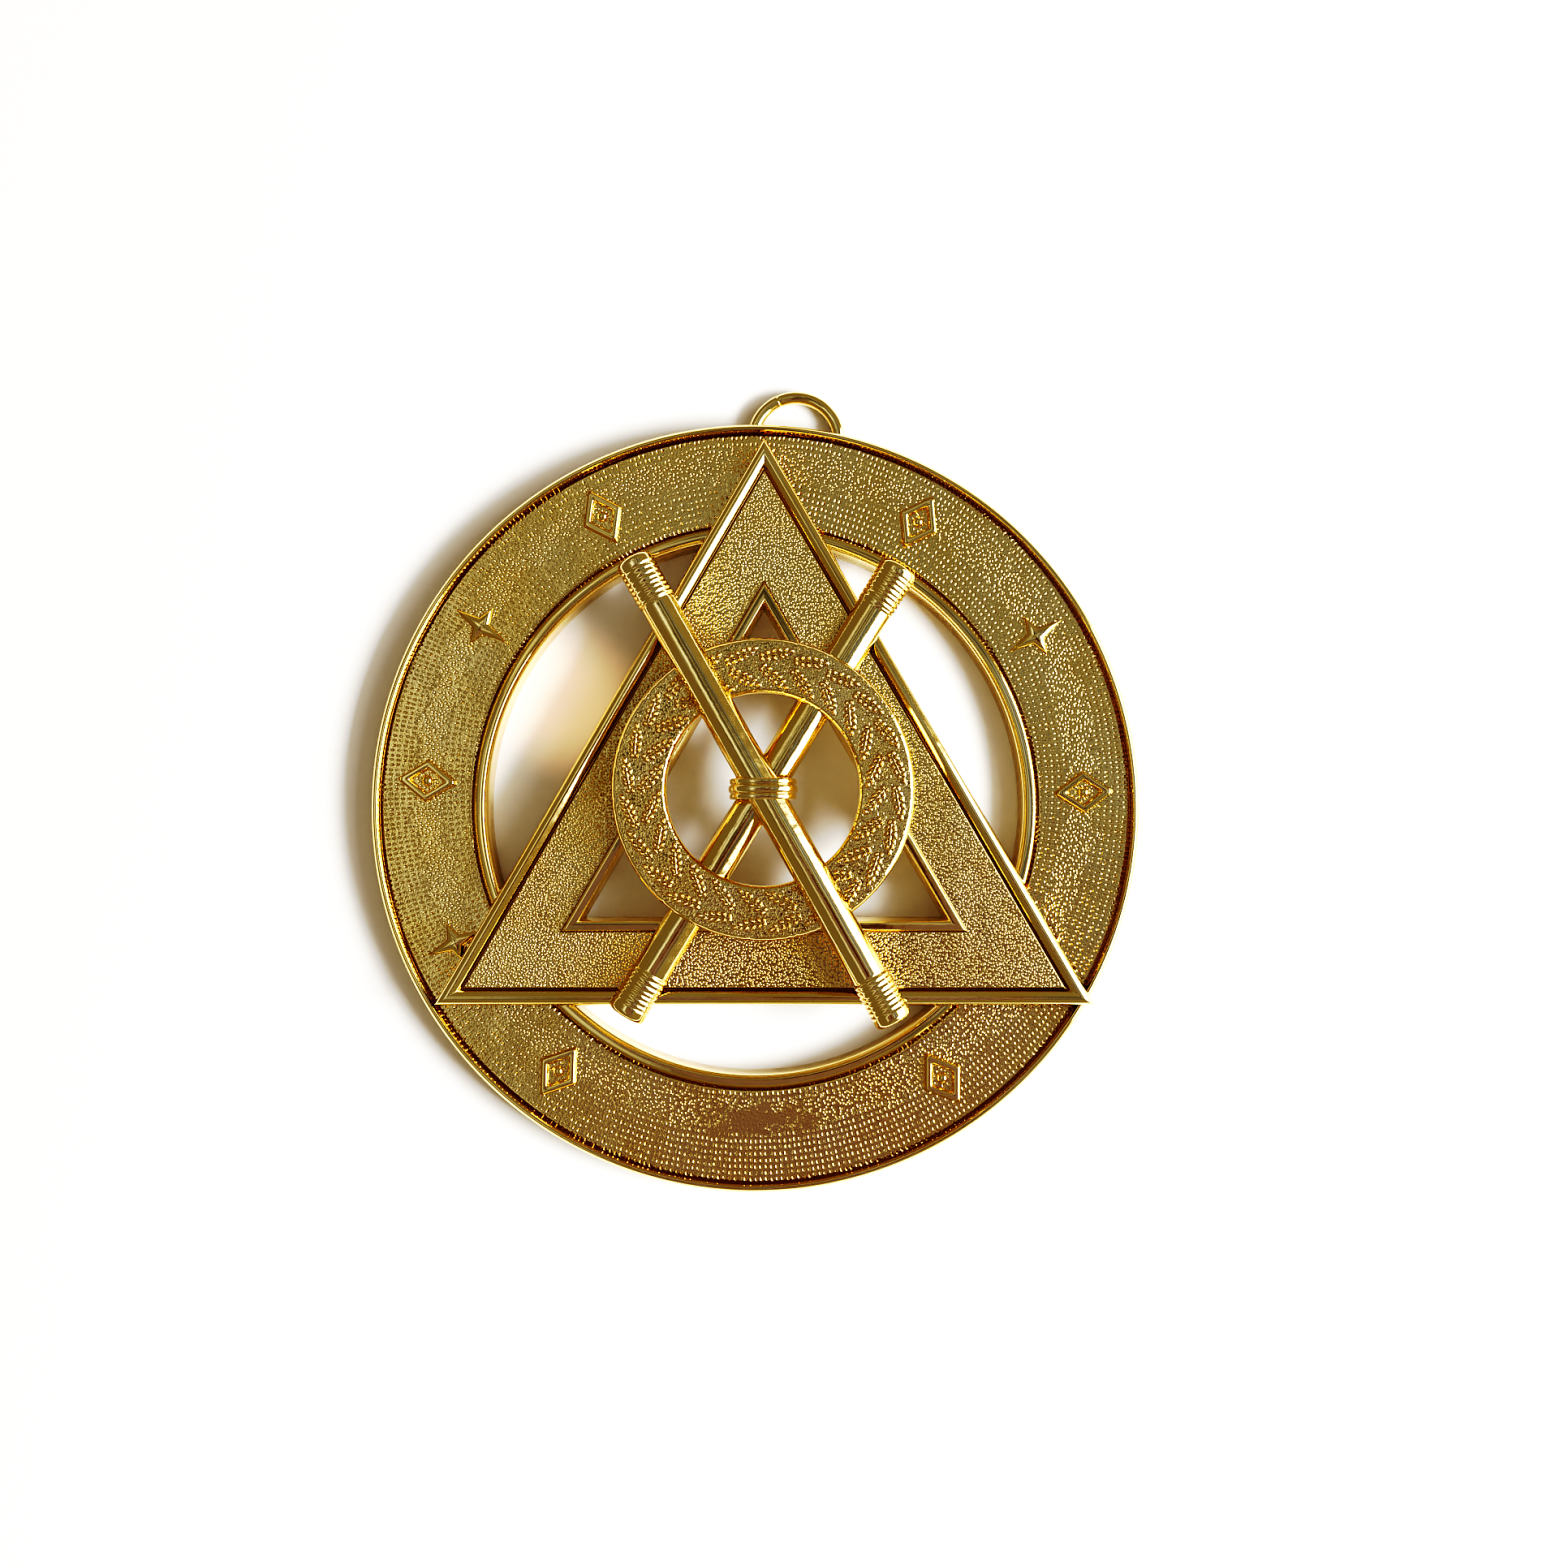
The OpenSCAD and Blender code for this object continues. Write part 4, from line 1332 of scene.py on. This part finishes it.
def grade():
    """Tone curve of the picture: darks fall, lights hold and white comes late; then some sharpening"""
    scene = bpy.context.scene
    scene.view_settings.view_transform = "Standard"
    scene.use_nodes = True
    nodes = Nodes(scene.node_tree)
    nodes.tree.nodes.clear()
    layers = nodes.add("CompositorNodeRLayers")
    exposure = nodes.add("CompositorNodeExposure", {"Exposure": -math.log2(WHITE_LEVEL)})
    to_even_steps = nodes.add("CompositorNodeGamma", {"Gamma": 1 / STEP_GAMMA})
    curve = nodes.add("CompositorNodeCurveRGB")
    curve.mapping.extend = "HORIZONTAL"
    line = curve.mapping.curves[3]
    for x, y in TONE_CURVE:
        line.points.new(x, y)
    curve.mapping.update()
    sharpen = nodes.add("CompositorNodeFilter", {"Fac": SHARPNESS}, filter_type="SHARPEN")
    to_light = nodes.add("CompositorNodeGamma", {"Gamma": STEP_GAMMA})
    out = nodes.add("CompositorNodeComposite")
    chain = [layers, exposure, to_even_steps, curve, sharpen, to_light, out]
    for first, second in zip(chain, chain[1:]):
        nodes.feed(second.inputs["Image"], first.outputs["Image"])


def camera():
    data = bpy.data.cameras.new("camera")
    data.lens = LENS
    data.sensor_width = 36
    data.clip_start = 0.01
    data.clip_end = 50
    seen_from = shown("camera", data)
    seen_from.location = [value * MM for value in CAMERA_AT]
    seen_from.rotation_euler = (CAMERA_TILT, 0, 0)
    bpy.context.scene.camera = seen_from


def build():
    field_gilt = band_gilt()
    over_gilt = polished_gilt("polished_gilt_over", 90 + math.degrees(OVER_LEAN))
    under_gilt = polished_gilt("polished_gilt_under", 90 + math.degrees(UNDER_LEAN))
    band = ring_band(field_gilt)
    band_field(field_gilt)
    ornaments(field_gilt)
    triangle_frame(frame_gilt())
    wreath(chased_gilt())
    rod("rod_over_gilt", "rod_over", over_gilt, OVER_W, OVER_H, OVER_LEAN, below_over, 41)
    rod("rod_under_gilt", "rod_under", under_gilt, UNDER_W, UNDER_H, UNDER_LEAN, nothing_below, 51)
    binding(polished_gilt("polished_gilt_tie", 0))
    suspension_loop(polished_gilt("polished_gilt_wire", 20))
    cut_loop_groove(band)


build()
floor()
dark_card("flag", *FLAG)
dark_card("dark_core", *DARK_CORE)
lamps()
Room().light()
camera()
grade()
